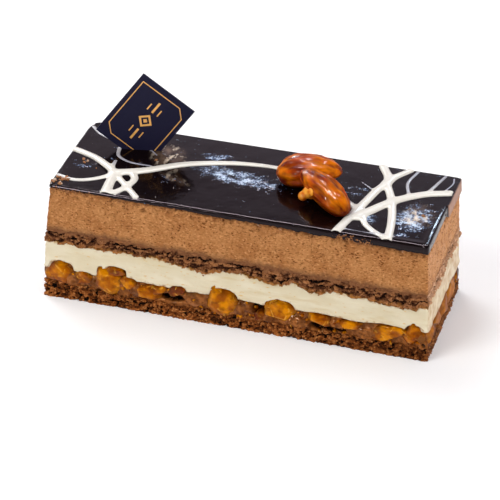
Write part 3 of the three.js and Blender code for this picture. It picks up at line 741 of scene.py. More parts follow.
def floor_finish():
    """A plain pale studio floor, lit a little from within so that the shadow stays pale."""
    finish = Finish("studio_floor", {"Roughness": 0.9, "Specular IOR Level": 0.1, "Emission Strength": 0.14})
    finish.colour(finish.mix(finish.noise(300.0), tone(250, 250, 249), tone(247, 247, 246)))
    return finish.material


def crumb_finish():
    """Loose crumbs, from dark sponge to pale cream by each one's own tint."""
    finish = Finish("loose_crumbs", {"Roughness": 0.8, "Specular IOR Level": 0.2})
    tint = finish.attribute("tint")
    brown = finish.mix(finish.ramp(tint, 0.0, 0.6), tone(104, 58, 28), tone(190, 130, 82))
    pale = finish.mix(finish.ramp(tint, 0.75, 0.95), brown, tone(236, 218, 196))
    finish.colour(finish.mix(finish.ramp(finish.noise(0.5), 0.4, 0.7, 0.0, 0.5), pale, tone(84, 44, 22)))
    return finish.material


def rounded_outline(corners, count=None):
    """Evenly spaced points round the bar, with rounded corners, running anticlockwise."""
    corners = np.array(corners)
    shares = np.linspace(0, 1, CORNER_STEPS)[:, None]
    path = []
    for i, corner in enumerate(corners):
        ends = []
        for neighbour in (corners[i - 1], corners[(i + 1) % 4]):
            away = neighbour - corner
            ends.append(corner + away * CORNER_RADII[i] / np.linalg.norm(away))
        path.append((1 - shares) ** 2 * ends[0] + 2 * shares * (1 - shares) * corner + shares ** 2 * ends[1])
    path = np.vstack(path + [path[0][:1]])
    lengths = np.r_[0, np.cumsum(np.linalg.norm(np.diff(path, axis=0), axis=1))]
    count = count or round(lengths[-1] / RING_STEP)
    even = np.linspace(0, lengths[-1], count, endpoint=False)
    return np.column_stack([np.interp(even, lengths, path[:, k]) for k in range(2)])


FOOT = rounded_outline(FOOT_CORNERS)
COUNT = len(FOOT)
TOP = rounded_outline(TOP_CORNERS, COUNT)
TANGENT = np.roll(FOOT, -1, axis=0) - np.roll(FOOT, 1, axis=0)
OUTWARD = np.column_stack([TANGENT[:, 1], -TANGENT[:, 0]]) / np.linalg.norm(TANGENT, axis=1)[:, None]


def side_ring(z, offset=0.0):
    """Points of the bar's side at these heights round the ring, moved out by an offset."""
    z = np.broadcast_to(np.asarray(z, float), (COUNT,))
    share = (np.clip(z, 0, None) / HEIGHT)[:, None] ** LEAN_CURVE
    plan = FOOT + (TOP - FOOT) * share + OUTWARD * np.broadcast_to(offset, (COUNT,))[:, None]
    return np.column_stack([plan, z])


def side_table():
    """The four sides in ring order, each measured along its foot from its middle."""
    sides = {}
    corners = np.array(FOOT_CORNERS)
    for i, name in enumerate(("front", "right", "back", "left")):
        run = corners[(i + 1) % 4] - corners[i]
        direction = run / np.linalg.norm(run)
        sides[name] = {
            "direction": direction,
            "outward": np.array([direction[1], -direction[0]]),
            "middle": corners[i] + run / 2,
            "reach": np.linalg.norm(run) / 2 - NUT_END_MARGIN,
        }
    return sides


SIDES = side_table()
FACING = np.argmax([OUTWARD @ side["outward"] for side in SIDES.values()], axis=0)
ALONG = np.array([
    (FOOT - side["middle"]) @ side["direction"] for side in SIDES.values()
])[FACING, np.arange(COUNT)]
FRONT, RIGHT, BACK = FACING == 0, FACING == 1, FACING == 2


def stream(seed):
    """The same seeded draws as in the solids."""
    state = seed

    def draw(low, high):
        nonlocal state
        state = (state * DRAW_FACTOR + DRAW_STEP) % DRAW_RANGE
        return low + (high - low) * state / DRAW_RANGE
    return draw


def side_nuts(name):
    """Nut pieces of a side as place, height, half length, half height, tilt and tint."""
    if name == "front":
        return FRONT_NUTS
    draw = stream(NUT_SEEDS[name])
    tints = np.random.default_rng(NUT_SEEDS[name])
    nuts = []
    place = -SIDES[name]["reach"]
    while place < SIDES[name]["reach"]:
        half_length = draw(*NUT_HALF_LENGTH)
        half_height = min(draw(*NUT_HALF_HEIGHT), half_length)
        height = NUT_FOOT + NUT_SETTLE * half_height + draw(*NUT_LIFT)
        nuts.append((place, height, half_length, half_height, draw(*NUT_TILT), tints.uniform(*NUT_TINT)))
        place += max(draw(*NUT_SPACING), NUT_LENGTHS_APART * half_length)
    return nuts


def smoothstep(value, low, high):
    """A soft step from 0 at the low value to 1 at the high one."""
    share = np.clip((value - low) / (high - low), 0, 1)
    return share * share * (3 - 2 * share)


def fade(far, full):
    """1 out to a full share of the way to a rim, then softly down to 0 at the rim."""
    return smoothstep(-far, -1.0, -full)


def ripple(crest):
    """A smooth wave round the bar in -1..1, with crests about one crest length apart."""
    turn = math.tau / crest
    wave = np.zeros(COUNT)
    for along, across, pace, start, size in RIPPLES:
        way = along * FOOT[:, 0] + across * FOOT[:, 1]
        wave += size * np.sin(way * turn * pace + start * crest)
    return wave


def ragged(step, seed):
    """Random heights in -1..1 round the ring, one every step, joined smoothly."""
    count = round(COUNT * RING_STEP / step)
    values = np.random.default_rng(seed).uniform(-1, 1, count)
    place = np.arange(COUNT) / COUNT * count
    low = place.astype(int)
    share = smoothstep(place - low, 0, 1)
    return values[low % count] * (1 - share) + values[(low + 1) % count] * share


def nut_cover():
    """Height of the cream's lower edge over the nut pieces, round the ring."""
    cover = np.zeros(COUNT)
    for i, name in enumerate(SIDES):
        for place, height, half_length, half_height, _, _ in side_nuts(name):
            across = np.clip(np.abs(ALONG - place) / (half_length + NUT_SKIN), 0, 1)
            dome = height + NUT_SKIN + half_height * (1 - across ** NUT_BLOCKY) ** (1 / NUT_BLOCKY)
            cover = np.where((FACING == i) & (across < 1), np.maximum(cover, dome), cover)
    return cover


def torn_share(x):
    """How torn the mousse is under the glaze along the front: 1 inside a torn span and 0 outside."""
    share = np.zeros(np.shape(x))
    for low, high in TORN_SPANS:
        share = np.maximum(share, smoothstep(np.minimum(x - low, high - x), 0, TORN_FADE))
    return share


def joint_ring(name, seed):
    """Height of a joint round the ring."""
    joint = JOINTS[name]
    height = joint["level"] + joint["swell"] * ripple(joint["crest"]) - joint["fall"] * FOOT[:, 0]
    if name == "base":
        height = height + BASE_RISE * smoothstep(-FOOT[:, 0], *BASE_RISE_SPAN)
    if name == "crunch":
        height = np.maximum(height, nut_cover())
    if name == "cream":
        places, heights = np.transpose(CREAM_TOP)
        height = np.where(FRONT, np.interp(FOOT[:, 0], places, heights), height + END_CREAM_RISE * RIGHT)
    if name == "mousse":
        step = smoothstep(FOOT[:, 1], GLAZE_STEP_Y - GLAZE_CUT_RUN, GLAZE_STEP_Y)
        bits = ragged(TORN_STEP, TORN_SEED) + ragged(TORN_STEP / 2, TORN_SEED + 1)
        height = height - np.where(RIGHT, GLAZE_CUT_DEEPER * step, 0)
        height = height + TORN_RISE * FRONT * torn_share(FOOT[:, 0]) * np.clip(bits, 0, 1)
    fine = ragged(joint["step"], seed) + FINE_RAG * ragged(joint["step"] / 2, seed + 1)
    return np.minimum(height + joint["rag"] * fine, HEIGHT - LIP_DROP - GLAZE_SOLE)


JOINT_RINGS = {name: joint_ring(name, JOINT_SEED_STEP * i) for i, name in enumerate(JOINTS)}
JOINT_RINGS["foot"] = np.zeros(COUNT)


def new_piece(name, mesh, material):
    """Links a mesh as an object with one material."""
    piece = bpy.data.objects.new(name, mesh)
    bpy.context.scene.collection.objects.link(piece)
    mesh.materials.clear()
    mesh.materials.append(material)
    return piece


def mesh_from(name, points, faces):
    """A smooth mesh from points in millimetres."""
    mesh = bpy.data.meshes.new(name)
    mesh.from_pydata((np.asarray(points) * MM).tolist(), [], np.asarray(faces, dtype=object).tolist())
    mesh.polygons.foreach_set("use_smooth", [True] * len(mesh.polygons))
    return mesh


def mesh_of(name, lump):
    """A mesh from a worked lump, which is then let go."""
    mesh = bpy.data.meshes.new(name)
    lump.to_mesh(mesh)
    lump.free()
    return mesh


def face_outward(mesh, first_step=None):
    """Turns a mesh's faces outward, after a first step on it where there is one."""
    lump = bmesh.new()
    lump.from_mesh(mesh)
    if first_step:
        first_step(lump)
    bmesh.ops.recalc_face_normals(lump, faces=lump.faces)
    lump.to_mesh(mesh)
    lump.free()


def store(mesh, name, values):
    """Keeps one number or vector for each point of a mesh."""
    values = np.asarray(values, np.float32)
    kind = "FLOAT" if values.ndim == 1 else "FLOAT_VECTOR"
    attribute = mesh.attributes.new(name, kind, "POINT")
    attribute.data.foreach_set("value" if values.ndim == 1 else "vector", values.ravel())


def points_of(piece):
    """A piece's points in millimetres."""
    points = np.zeros(len(piece.data.vertices) * 3)
    piece.data.vertices.foreach_get("co", points)
    return points.reshape(-1, 3) / MM


def values_of(piece, name, size):
    """The values that a piece's points carry, in rows of a size."""
    values = np.zeros(len(piece.data.vertices) * size, np.float32)
    piece.data.attributes[name].data.foreach_get("value" if size == 1 else "vector", values)
    return values.reshape(-1, size)


def ring_faces(rows, size):
    """Quads between rows of ring points, row after row from the lowest."""
    start = np.arange(size)
    after = (start + 1) % size
    quad = np.column_stack([start, after, after + size, start + size])
    return np.vstack([quad + row * size for row in range(rows)]).tolist()


def fan_faces(first, middle, size, upward):
    """Triangles from a ring to its middle point."""
    start = np.arange(size) + first
    after = np.roll(start, -1)
    pair = (start, after) if upward else (after, start)
    return np.column_stack([*pair, np.full(size, middle)]).tolist()


def profile(marks, shares):
    """A value up a layer's side from marks of share and value."""
    places, values = np.transpose(marks)
    return np.interp(shares, places, values)


def crack_rows(shares, crack, seed):
    """Where a wandering crack runs round a layer, for each row of shares: 1 in its middle and 0 outside."""
    middle, wander, half_width = crack
    (slow, slow_step), (fast, fast_step) = CRACK_WANDER
    line = middle + wander * (slow * ragged(slow_step, seed) + fast * ragged(fast_step, seed + 1))
    width = half_width * np.clip(CRACK_WIDTH + ragged(CRACK_WIDTH_STEP, seed + 2), *CRACK_WIDTH_RANGE)
    return fade(np.abs(shares[:, None] - line) / width, CRACK_FULL)


def layer_mesh(name, lower, upper, row_step, marks):
    """A closed layer between two joints with fine rows on its side, and what its marks say at each point."""
    low, high = JOINT_RINGS[lower], JOINT_RINGS[upper]
    rows = round((high - low).mean() / row_step)
    shares = np.linspace(0, 1, rows + 1)
    bulge = profile(marks.get("bulge", EVEN_OUT), shares)
    rings = [side_ring(low + (high - low) * share, out) for share, out in zip(shares, bulge)]
    middles = [[0, 0, low.mean()], [0, 0, high.mean()]]
    last = rows * COUNT
    faces = ring_faces(rows, COUNT)
    faces += fan_faces(0, last + COUNT, COUNT, False) + fan_faces(last, last + COUNT + 1, COUNT, True)
    mesh = mesh_from(name, np.vstack(rings + [middles]), faces)
    outward = np.tile(np.column_stack([OUTWARD, np.zeros(COUNT)]), (rows + 1, 1))
    store(mesh, "outward", np.vstack([outward, np.zeros((2, 3))]))
    store(mesh, "share", np.r_[np.repeat(shares, COUNT), 0, 1])
    store(mesh, "end", np.r_[np.tile(RIGHT, rows + 1), 0, 0])
    cracks = np.zeros((rows + 1, COUNT))
    for i, crack in enumerate(marks.get("cracks", ())):
        seed = CRACK_SEED + CRACK_SEED_STEP * i + rows
        cracks = np.maximum(cracks, crack_rows(shares, crack, seed))
    store(mesh, "crack", np.r_[cracks.ravel(), 0, 0])
    for label in ("rough", "holes"):
        mark = profile(marks.get(label, EVEN_SHARE), shares)
        store(mesh, label, np.r_[np.repeat(mark, COUNT), 0, 0])
    return mesh


def new_tree(name, inputs):
    """A node tree with a geometry going through it, a finish and these named inputs.

    Gives the tree, its inputs and its output.
    """
    tree = bpy.data.node_groups.new(name, "GeometryNodeTree")
    tree.interface.new_socket("Geometry", in_out="OUTPUT", socket_type="NodeSocketGeometry")
    for label, kind in (("Geometry", "Geometry"), ("Finish", "Material"), *inputs):
        tree.interface.new_socket(label, in_out="INPUT", socket_type="NodeSocket" + kind)
    source = tree.nodes.new("NodeGroupInput").outputs
    sink = tree.nodes.new("NodeGroupOutput").inputs
    return tree, source, sink


def end_tree(tree, shape, source, sink):
    """Ends a tree with a real and smooth mesh in the tree's finish."""
    real = add_node(tree, "GeometryNodeRealizeInstances", {"Geometry": shape}).outputs[0]
    smooth = add_node(tree, "GeometryNodeSetShadeSmooth", {"Geometry": real}).outputs[0]
    feeds = {"Geometry": smooth, "Material": source["Finish"]}
    tree.links.new(add_node(tree, "GeometryNodeSetMaterial", feeds).outputs[0], sink["Geometry"])
    return tree


def run_tree(piece, tree, settings):
    """Runs a tree over a piece with these named inputs, and keeps the result as the piece's plain mesh."""
    values = {"Finish": piece.data.materials[0], **settings}
    modifier = piece.modifiers.new(tree.name, "NODES")
    modifier.node_group = tree
    for item in tree.interface.items_tree:
        if item.in_out == "INPUT" and item.name in values:
            modifier[item.identifier] = values[item.name]
    graph = bpy.context.evaluated_depsgraph_get()
    solid = piece.evaluated_get(graph)
    mesh = bpy.data.meshes.new_from_object(solid, preserve_all_data_layers=True, depsgraph=graph)
    piece.modifiers.remove(modifier)
    piece.data = mesh
    return piece


def noise_node(tree, size, place, seed, detail=2.0):
    """A seeded noise over a place in millimetres, with features of one size."""
    feeds = {"Vector": place, "W": seed, "Scale": calc(tree, "DIVIDE", 1.0, size), "Detail": detail}
    return add_node(tree, "ShaderNodeTexNoise", feeds, noise_dimensions="4D").outputs[0]


def cell_node(tree, size, place, seed):
    """Cells of one size over a place in millimetres."""
    feeds = {"Vector": place, "W": seed, "Scale": calc(tree, "DIVIDE", 1.0, size)}
    return add_node(tree, "ShaderNodeTexVoronoi", feeds, voronoi_dimensions="4D").outputs


def centred(tree, value, depth):
    """A value moved from 0..1 to minus depth..depth."""
    shifted = calc(tree, "SUBTRACT", value, 0.5)
    return calc(tree, "MULTIPLY", calc(tree, "MULTIPLY", shifted, 2.0), depth)


def place_node(tree, stretch):
    """Each point's place in millimetres, with its height stretched."""
    factors = add_node(tree, "ShaderNodeCombineXYZ", {0: 1 / MM, 1: 1 / MM, 2: stretch}).outputs[0]
    position = add_node(tree, "GeometryNodeInputPosition").outputs[0]
    return add_node(tree, "ShaderNodeVectorMath", {0: position, 1: factors}, operation="MULTIPLY").outputs[0]


def own(tree, name, kind="FLOAT"):
    """A value that each point carries."""
    return add_node(tree, "GeometryNodeInputNamedAttribute", {"Name": name}, data_type=kind).outputs[0]


def marked(tree, shape, name, value, domain="POINT"):
    """A shape whose points or instances carry a value under a name."""
    feeds = {"Geometry": shape, "Name": name, "Value": value}
    return add_node(
        tree, "GeometryNodeStoreNamedAttribute", feeds, data_type="FLOAT", domain=domain).outputs[0]


def pushed(tree, shape, way, distance):
    """A shape with its points pushed along a way by a distance in millimetres."""
    feeds = {0: way, "Scale": calc(tree, "MULTIPLY", distance, MM)}
    offset = add_node(tree, "ShaderNodeVectorMath", feeds, operation="SCALE").outputs[0]
    return add_node(tree, "GeometryNodeSetPosition", {"Geometry": shape, "Offset": offset}).outputs[0]


def shape_set(tree, shapes):
    """The shapes of a collection, one by one."""
    feeds = {"Collection": shapes, "Separate Children": True, "Reset Children": True}
    return add_node(tree, "GeometryNodeCollectionInfo", feeds).outputs[0]


def crumb_relief_tree():
    """Torn crumb: lumps, flakes, crumbs, grain, pits and cracks that push a side's points in or out."""
    tree, source, sink = new_tree("crumb_relief", [(name, "Float") for name in (
        "Lump Size", "Lump Depth", "Flake Size", "Flake Depth", "Crumb Size", "Crumb Depth", "Grain Size",
        "Grain Depth", "Pit Size", "Pit Level", "Pit Depth", "Height Stretch", "Seed")])
    seeds = [calc(tree, "ADD", source["Seed"], step) for step in RELIEF_SEEDS]
    lump_seed, crumb_seed, grain_seed, pit_seed, flake_seed = seeds
    place = place_node(tree, calc(tree, "MULTIPLY", source["Height Stretch"], 1 / MM))
    lump = centred(tree, noise_node(tree, source["Lump Size"], place, lump_seed), source["Lump Depth"])

    cells = cell_node(tree, source["Crumb Size"], place, crumb_seed)["Distance"]
    crumb = centred(tree, calc(tree, "SUBTRACT", 1.0, cells), source["Crumb Depth"])
    grain = centred(tree, noise_node(tree, source["Grain Size"], place, grain_seed), source["Grain Depth"])

    stir_scale = calc(tree, "DIVIDE", FLAKE_STIR, source["Flake Size"])
    stir = add_node(tree, "ShaderNodeTexNoise", {"Vector": place, "Scale": stir_scale}).outputs["Color"]
    reach = add_node(tree, "ShaderNodeCombineXYZ", {k: source["Flake Size"] for k in range(3)}).outputs[0]
    feeds = {0: stir, 1: reach, 2: place}
    stirred = add_node(tree, "ShaderNodeVectorMath", feeds, operation="MULTIPLY_ADD").outputs[0]
    patches = cell_node(tree, source["Flake Size"], stirred, flake_seed)["Color"]
    flake = add_node(tree, "ShaderNodeSeparateXYZ", {0: patches}).outputs[0]

    torn = calc(tree, "ADD", centred(tree, flake, source["Flake Depth"]), calc(tree, "ADD", crumb, grain))
    relief = calc(tree, "ADD", lump, calc(tree, "MULTIPLY", torn, own(tree, "rough")))
    hole = noise_node(tree, source["Pit Size"], place, pit_seed, 1.0)
    hole = ramp(tree, hole, source["Pit Level"], calc(tree, "ADD", source["Pit Level"], PIT_EDGE))
    pit = calc(tree, "MAXIMUM", calc(tree, "MULTIPLY", hole, own(tree, "holes")), own(tree, "crack"))
    out = calc(tree, "SUBTRACT", relief, calc(tree, "MULTIPLY", pit, source["Pit Depth"]))
    shape = source["Geometry"]
    # The pits, the relief and the flakes are kept for the finishes, which use them for painted shade and
    # painted light.
    for name, value in (("pit", pit), ("relief", relief), ("flake", flake)):
        shape = marked(tree, shape, name, value)
    shape = pushed(tree, shape, own(tree, "outward", "FLOAT_VECTOR"), out)
    return end_tree(tree, shape, source, sink)


def piece_tree():
    """Sets one of several shapes on each point, by the point's own pick, turn and size, and dents them."""
    tree, source, sink = new_tree("set_pieces", [
        ("Shapes", "Collection"), ("Dent Size", "Float"), ("Dent Depth", "Float"), ("Seed", "Float"),
    ])
    points = add_node(tree, "GeometryNodeMeshToPoints", {"Mesh": source["Geometry"]}).outputs[0]
    turn = add_node(tree, "FunctionNodeEulerToRotation", {0: own(tree, "turn", "FLOAT_VECTOR")}).outputs[0]
    placed = add_node(tree, "GeometryNodeInstanceOnPoints", {
        "Points": points, "Instance": shape_set(tree, source["Shapes"]), "Pick Instance": True,
        "Instance Index": own(tree, "pick", "INT"), "Rotation": turn,
        "Scale": own(tree, "size", "FLOAT_VECTOR"),
    }).outputs[0]
    real = add_node(tree, "GeometryNodeRealizeInstances", {"Geometry": placed}).outputs[0]
    fold = noise_node(tree, source["Dent Size"], place_node(tree, 1 / MM), source["Seed"])
    normal = add_node(tree, "GeometryNodeInputNormal").outputs[0]
    dented = pushed(tree, real, normal, centred(tree, fold, source["Dent Depth"]))
    return end_tree(tree, dented, source, sink)


def scatter_tree():
    """Strews small shapes where a surface's share of crumbs says, turned, sized and tinted at random."""
    tree, source, sink = new_tree("strew_crumbs", [
        ("Shapes", "Collection"), ("Density", "Float"), ("Least Size", "Float"), ("Most Size", "Float"),
        ("Least Tint", "Float"), ("Most Tint", "Float"), ("Seed", "Int"),
    ])

    def chance(low, high, step):
        seed = calc(tree, "ADD", source["Seed"], step)
        feeds = {2: source[low], 3: source[high], "Seed": seed}
        return add_node(tree, "FunctionNodeRandomValue", feeds).outputs[1]

    density = calc(tree, "MULTIPLY", own(tree, "crumbs"), source["Density"])
    feeds = {"Mesh": source["Geometry"], "Density": density, "Seed": source["Seed"]}
    spots = add_node(tree, "GeometryNodeDistributePointsOnFaces", feeds).outputs["Points"]
    feeds = {1: (math.tau,) * 3, "Seed": source["Seed"]}
    angles = add_node(tree, "FunctionNodeRandomValue", feeds, data_type="FLOAT_VECTOR").outputs[0]
    turn = add_node(tree, "FunctionNodeEulerToRotation", {0: angles}).outputs[0]
    placed = add_node(tree, "GeometryNodeInstanceOnPoints", {
        "Points": spots, "Instance": shape_set(tree, source["Shapes"]), "Pick Instance": True,
        "Rotation": turn, "Scale": chance("Least Size", "Most Size", 1.0),
    }).outputs[0]
    tinted = marked(tree, placed, "tint", chance("Least Tint", "Most Tint", 2.0), "INSTANCE")
    return end_tree(tree, tinted, source, sink)


def crumb_shapes(name, seed):
    """A hidden set of broken crumbs, each the hull of random points on a unit ball."""
    shapes = bpy.data.collections.new(name)
    rng = np.random.default_rng(seed)
    for i in range(CRUMB_KINDS):
        lump = bmesh.new()
        for spot in rng.normal(size=(CRUMB_CORNERS, 3)):
            lump.verts.new(spot / np.linalg.norm(spot))
        hull = bmesh.ops.convex_hull(lump, input=lump.verts)
        bmesh.ops.delete(lump, geom=hull["geom_interior"] + hull["geom_unused"], context="VERTS")
        bmesh.ops.recalc_face_normals(lump, faces=lump.faces)
        add_shape(shapes, f"{name}_{i}", lump, 1.0)
    return shapes


def nut_shapes(name):
    """A hidden set of broken nuts, -Y outward: uneven balls, squared to hold their outline, with flats."""
    shapes = bpy.data.collections.new(name)
    rng = np.random.default_rng(NUT_SHAPE_SEED)
    for i in range(NUT_KINDS):
        ball = bmesh.new()
        bmesh.ops.create_icosphere(ball, subdivisions=NUT_FINENESS, radius=1.0)
        waves = [(count, size, rng.uniform(0, math.tau)) for count, size in NUT_WAVES]
        turn_x, turn_z = rng.uniform(*NUT_FACE_TURN), rng.uniform(*NUT_FACE_TURN)
        cuts = [(turn_x, -1.0, turn_z, rng.uniform(*NUT_FACE_LEVEL))]
        for _ in range(NUT_FLATS):
            ranges = (NUT_FLAT_TURN, NUT_FLAT_FACING, NUT_FLAT_TURN, NUT_FLAT_LEVEL)
            cuts.append([rng.uniform(*span) for span in ranges])
        faces = []
        for vert in ball.verts:
            spread, depth = math.hypot(vert.co.x, vert.co.z), abs(vert.co.y)
            faces.append(1 - spread)
            vert.co *= (spread ** NUT_SQUARE + depth ** NUT_SQUARE) ** (-1 / NUT_SQUARE)
            angle = math.atan2(vert.co.z, vert.co.x)
            corner = abs(math.cos(angle)) ** NUT_BLOCKY + abs(math.sin(angle)) ** NUT_BLOCKY
            wave = sum(size * math.cos(count * angle + turn) for count, size, turn in waves)
            swell = corner ** (-1 / NUT_BLOCKY) * (1 + wave)
            vert.co.x, vert.co.z = vert.co.x * swell, vert.co.z * swell
        for *way, level in cuts:
            way = Vector(way).normalized()
            for vert in ball.verts:
                vert.co -= way * max(vert.co.dot(way) - level, 0)
        add_shape(shapes, f"{name}_{i}", ball, faces)
    return shapes


def add_shape(shapes, name, lump, faces):
    """Keeps a lump among the shapes, with how far each point is from its rim."""
    mesh = mesh_of(name, lump)
    store(mesh, "face", np.broadcast_to(faces, len(mesh.vertices)))
    shapes.objects.link(bpy.data.objects.new(name, mesh))


def drop_shapes(shapes):
    """Takes a hidden set of shapes away again."""
    for shape in list(shapes.objects):
        bpy.data.objects.remove(shape)
    bpy.data.collections.remove(shapes)


def keep(piece, slot, *nodes):
    """Ties a finished piece to the bar and hides the solids that it stands for. Its slot is not used."""
    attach(piece, "root")
    if nodes:
        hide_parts(*nodes)
    return piece


RELIEF = crumb_relief_tree()
PIECES = piece_tree()
STREW = scatter_tree()
LAYER_FINISHES = {
    "base_sponge": sponge_finish("base_sponge"),
    "cream": cream_finish(),
    "thin_sponge": sponge_finish("thin_sponge"),
    "mousse": mousse_finish(),
}


def make_layers():
    """The four plain layers, each over its own solid."""
    layers = {}
    for name, (lower, upper, row_step, marks, relief) in LAYERS.items():
        mesh = layer_mesh(name, lower, upper, row_step, marks)
        piece = new_piece(f"{name}_layer", mesh, LAYER_FINISHES[name])
        layers[name] = keep(run_tree(piece, RELIEF, relief), name, name)
    return layers


def caramel_push(points):
    """How far mounds push the caramel out at each point of the core, and hollows push it in, at the front."""
    front = points[:, 1] < FOOT[:, 1].min() + CARAMEL_FRONT

    def share(place, height, half_length, half_height):
        far = ((points[:, 0] - place) / half_length) ** 2 + ((points[:, 2] - height) / half_height) ** 2
        return fade(far, MOUND_FULL) * front

    mound, hollow = np.zeros(len(points)), np.zeros(len(points))
    for spot in MOUNDS:
        mound = np.maximum(mound, MOUND_RISE * share(*spot))
    for *spot, deep in HOLLOWS:
        hollow = np.maximum(hollow, deep * share(*spot))
    return mound * (hollow == 0), hollow


def set_nuts(finish):
    """The nut pieces of every side, as one piece, each turned and sized in its place."""
    places, turns, sizes, tints, ends = [], [], [], [], []
    for name, side in SIDES.items():
        facing = math.atan2(side["direction"][1], side["direction"][0])
        for along, height, half_length, half_height, tilt, tint in side_nuts(name):
            plan = side["middle"] + side["direction"] * along + side["outward"] * (NUT_PROUD - NUT_DEPTH)
            places.append([*plan, height])
            turns.append([0, math.radians(-tilt), facing])
            sizes.append([half_length * NUT_FILL, NUT_DEPTH, half_height * NUT_FILL])
            tints.append(tint)
            ends.append(name == "right")
    seeds = mesh_from("nut_pieces", places, [])
    store(seeds, "turn", turns)
    store(seeds, "size", np.array(sizes) * MM)
    store(seeds, "tint", tints)
    store(seeds, "end", ends)
    picks = seeds.attributes.new("pick", "INT", "POINT")
    picks.data.foreach_set("value", np.arange(len(places), dtype=np.int32) % NUT_KINDS)
    shapes = nut_shapes("nut")
    piece = run_tree(new_piece("nut_pieces", seeds, finish), PIECES, {"Shapes": shapes, **NUT_DENTS})
    drop_shapes(shapes)
    return keep(piece, "almond_crunch", "almond_crunch")


def make_crunch():
    """The nut crunch: a core of soft caramel in mounds and hollows, and every side's nut pieces over it."""
    *layer, relief = CARAMEL_CORE
    core = new_piece("caramel_core", layer_mesh("caramel", *layer), caramel_finish())
    run_tree(core, RELIEF, relief)
    points = points_of(core)
    mound, hollow = caramel_push(points)
    points += values_of(core, "outward", 3) * (mound - hollow)[:, None]
    core.data.vertices.foreach_set("co", (points * MM).ravel())
    # The hollows join the pits, which the caramel's finish paints nearly black as painted shade.
    pits = values_of(core, "pit", 1)[:, 0] * (mound == 0)
    pits = np.maximum(pits, np.clip(hollow / HOLLOW_DARK, 0, 1)).astype(np.float32)
    core.data.attributes["pit"].data.foreach_set("value", pits)
    keep(core, "almond_crunch", "almond_crunch")
    finish = nut_finish()
    set_nuts(finish)
    return core, finish


def top_grid(step):
    """Places over the whole top, a step apart."""
    return np.meshgrid(*(np.arange(-reach, reach + 1, step) for reach in TOP_REACH))


def inward_distance(x, y, sides=range(4)):
    """How far a point of the top is inside the glaze's edge, on these sides."""
    corners = np.array(TOP_CORNERS)
    near = np.full(np.shape(x), np.inf)
    for i in sides:
        run = corners[(i + 1) % 4] - corners[i]
        run = run / np.linalg.norm(run)
        near = np.minimum(near, (y - corners[i][1]) * run[0] - (x - corners[i][0]) * run[1])
    return near + GLAZE_OVERHANG


def glaze_surface(x, y):
    """The glaze's top without its lip: slow waves on a slight crown, and a raised rim at the front right."""
    front_inset, right_inset = inward_distance(x, y, [0]), inward_distance(x, y, [1])
    waves = sum(size * np.sin(x / run_x + y / run_y) for size, run_x, run_y in GLAZE_WAVES)
    crown = np.where(y < 0, GLAZE_FRONT_CROWN, GLAZE_CROWN) * (y / TOP_CORNERS[2][1]) ** 2
    sag = GLAZE_SAG * np.exp(-np.clip(front_inset, 0, None) / GLAZE_SAG_RUN)
    right = np.exp(-((right_inset - RIM_INSET) / RIM_WIDTH) ** 2)
    front = np.exp(-((front_inset - RIM_INSET) / RIM_WIDTH) ** 2)
    rim = RIM_RISE * np.maximum(right * smoothstep(-y, *RIM_END_Y), front * smoothstep(x, *RIM_FRONT_X))
    return HEIGHT + GLAZE_CROWN - crown + waves - sag + rim


def glaze_height(x, y):
    """The glaze's top with its lip."""
    return glaze_surface(x, y) - np.interp(inward_distance(x, y, LIP_SIDES), *np.transpose(LIP))


def patch_share(x, y, patches):
    """How much of a patch is at each point of the glaze, from patches with soft edges."""
    share = np.zeros(np.shape(x))
    for middle_x, middle_y, half_x, half_y, turn, strength in patches:
        cos, sin = math.cos(math.radians(turn)), math.sin(math.radians(turn))
        along = (x - middle_x) * cos + (y - middle_y) * sin
        across = (y - middle_y) * cos - (x - middle_x) * sin
        far = np.hypot(along / half_x, across / half_y)
        share = np.maximum(share, strength * fade(far, PATCH_FULL))
    return share


def glaze_top(edge, beside):
    """Points and faces of the glaze's top inside an edge: the edge, a ring beside it and a fine grid."""
    x, y = top_grid(GLAZE_GRID)
    inside = inward_distance(x, y) > LIP_RUN + GLAZE_GRID_MARGIN * GLAZE_GRID
    inner = np.column_stack([x[inside], y[inside]])
    # The grid stays out of the back left corner, which is rounded more than the others.
    corner = np.array(TOP_CORNERS[3]) + np.array([1, -1]) * CORNER_RADII[3] / 2
    inner = inner[(inner[:, 0] > corner[0]) | (inner[:, 1] < corner[1])]
    plan = [Vector(p) for p in np.vstack([edge, beside, inner])]
    loop = [(i, (i + 1) % COUNT) for i in range(COUNT)]
    flat, _, faces, *_ = geometry.delaunay_2d_cdt(plan, loop, [], 1, SAME_PLAN_POINT)
    flat = np.array([list(p) for p in flat])
    return np.column_stack([flat, glaze_surface(*flat.T)]), faces


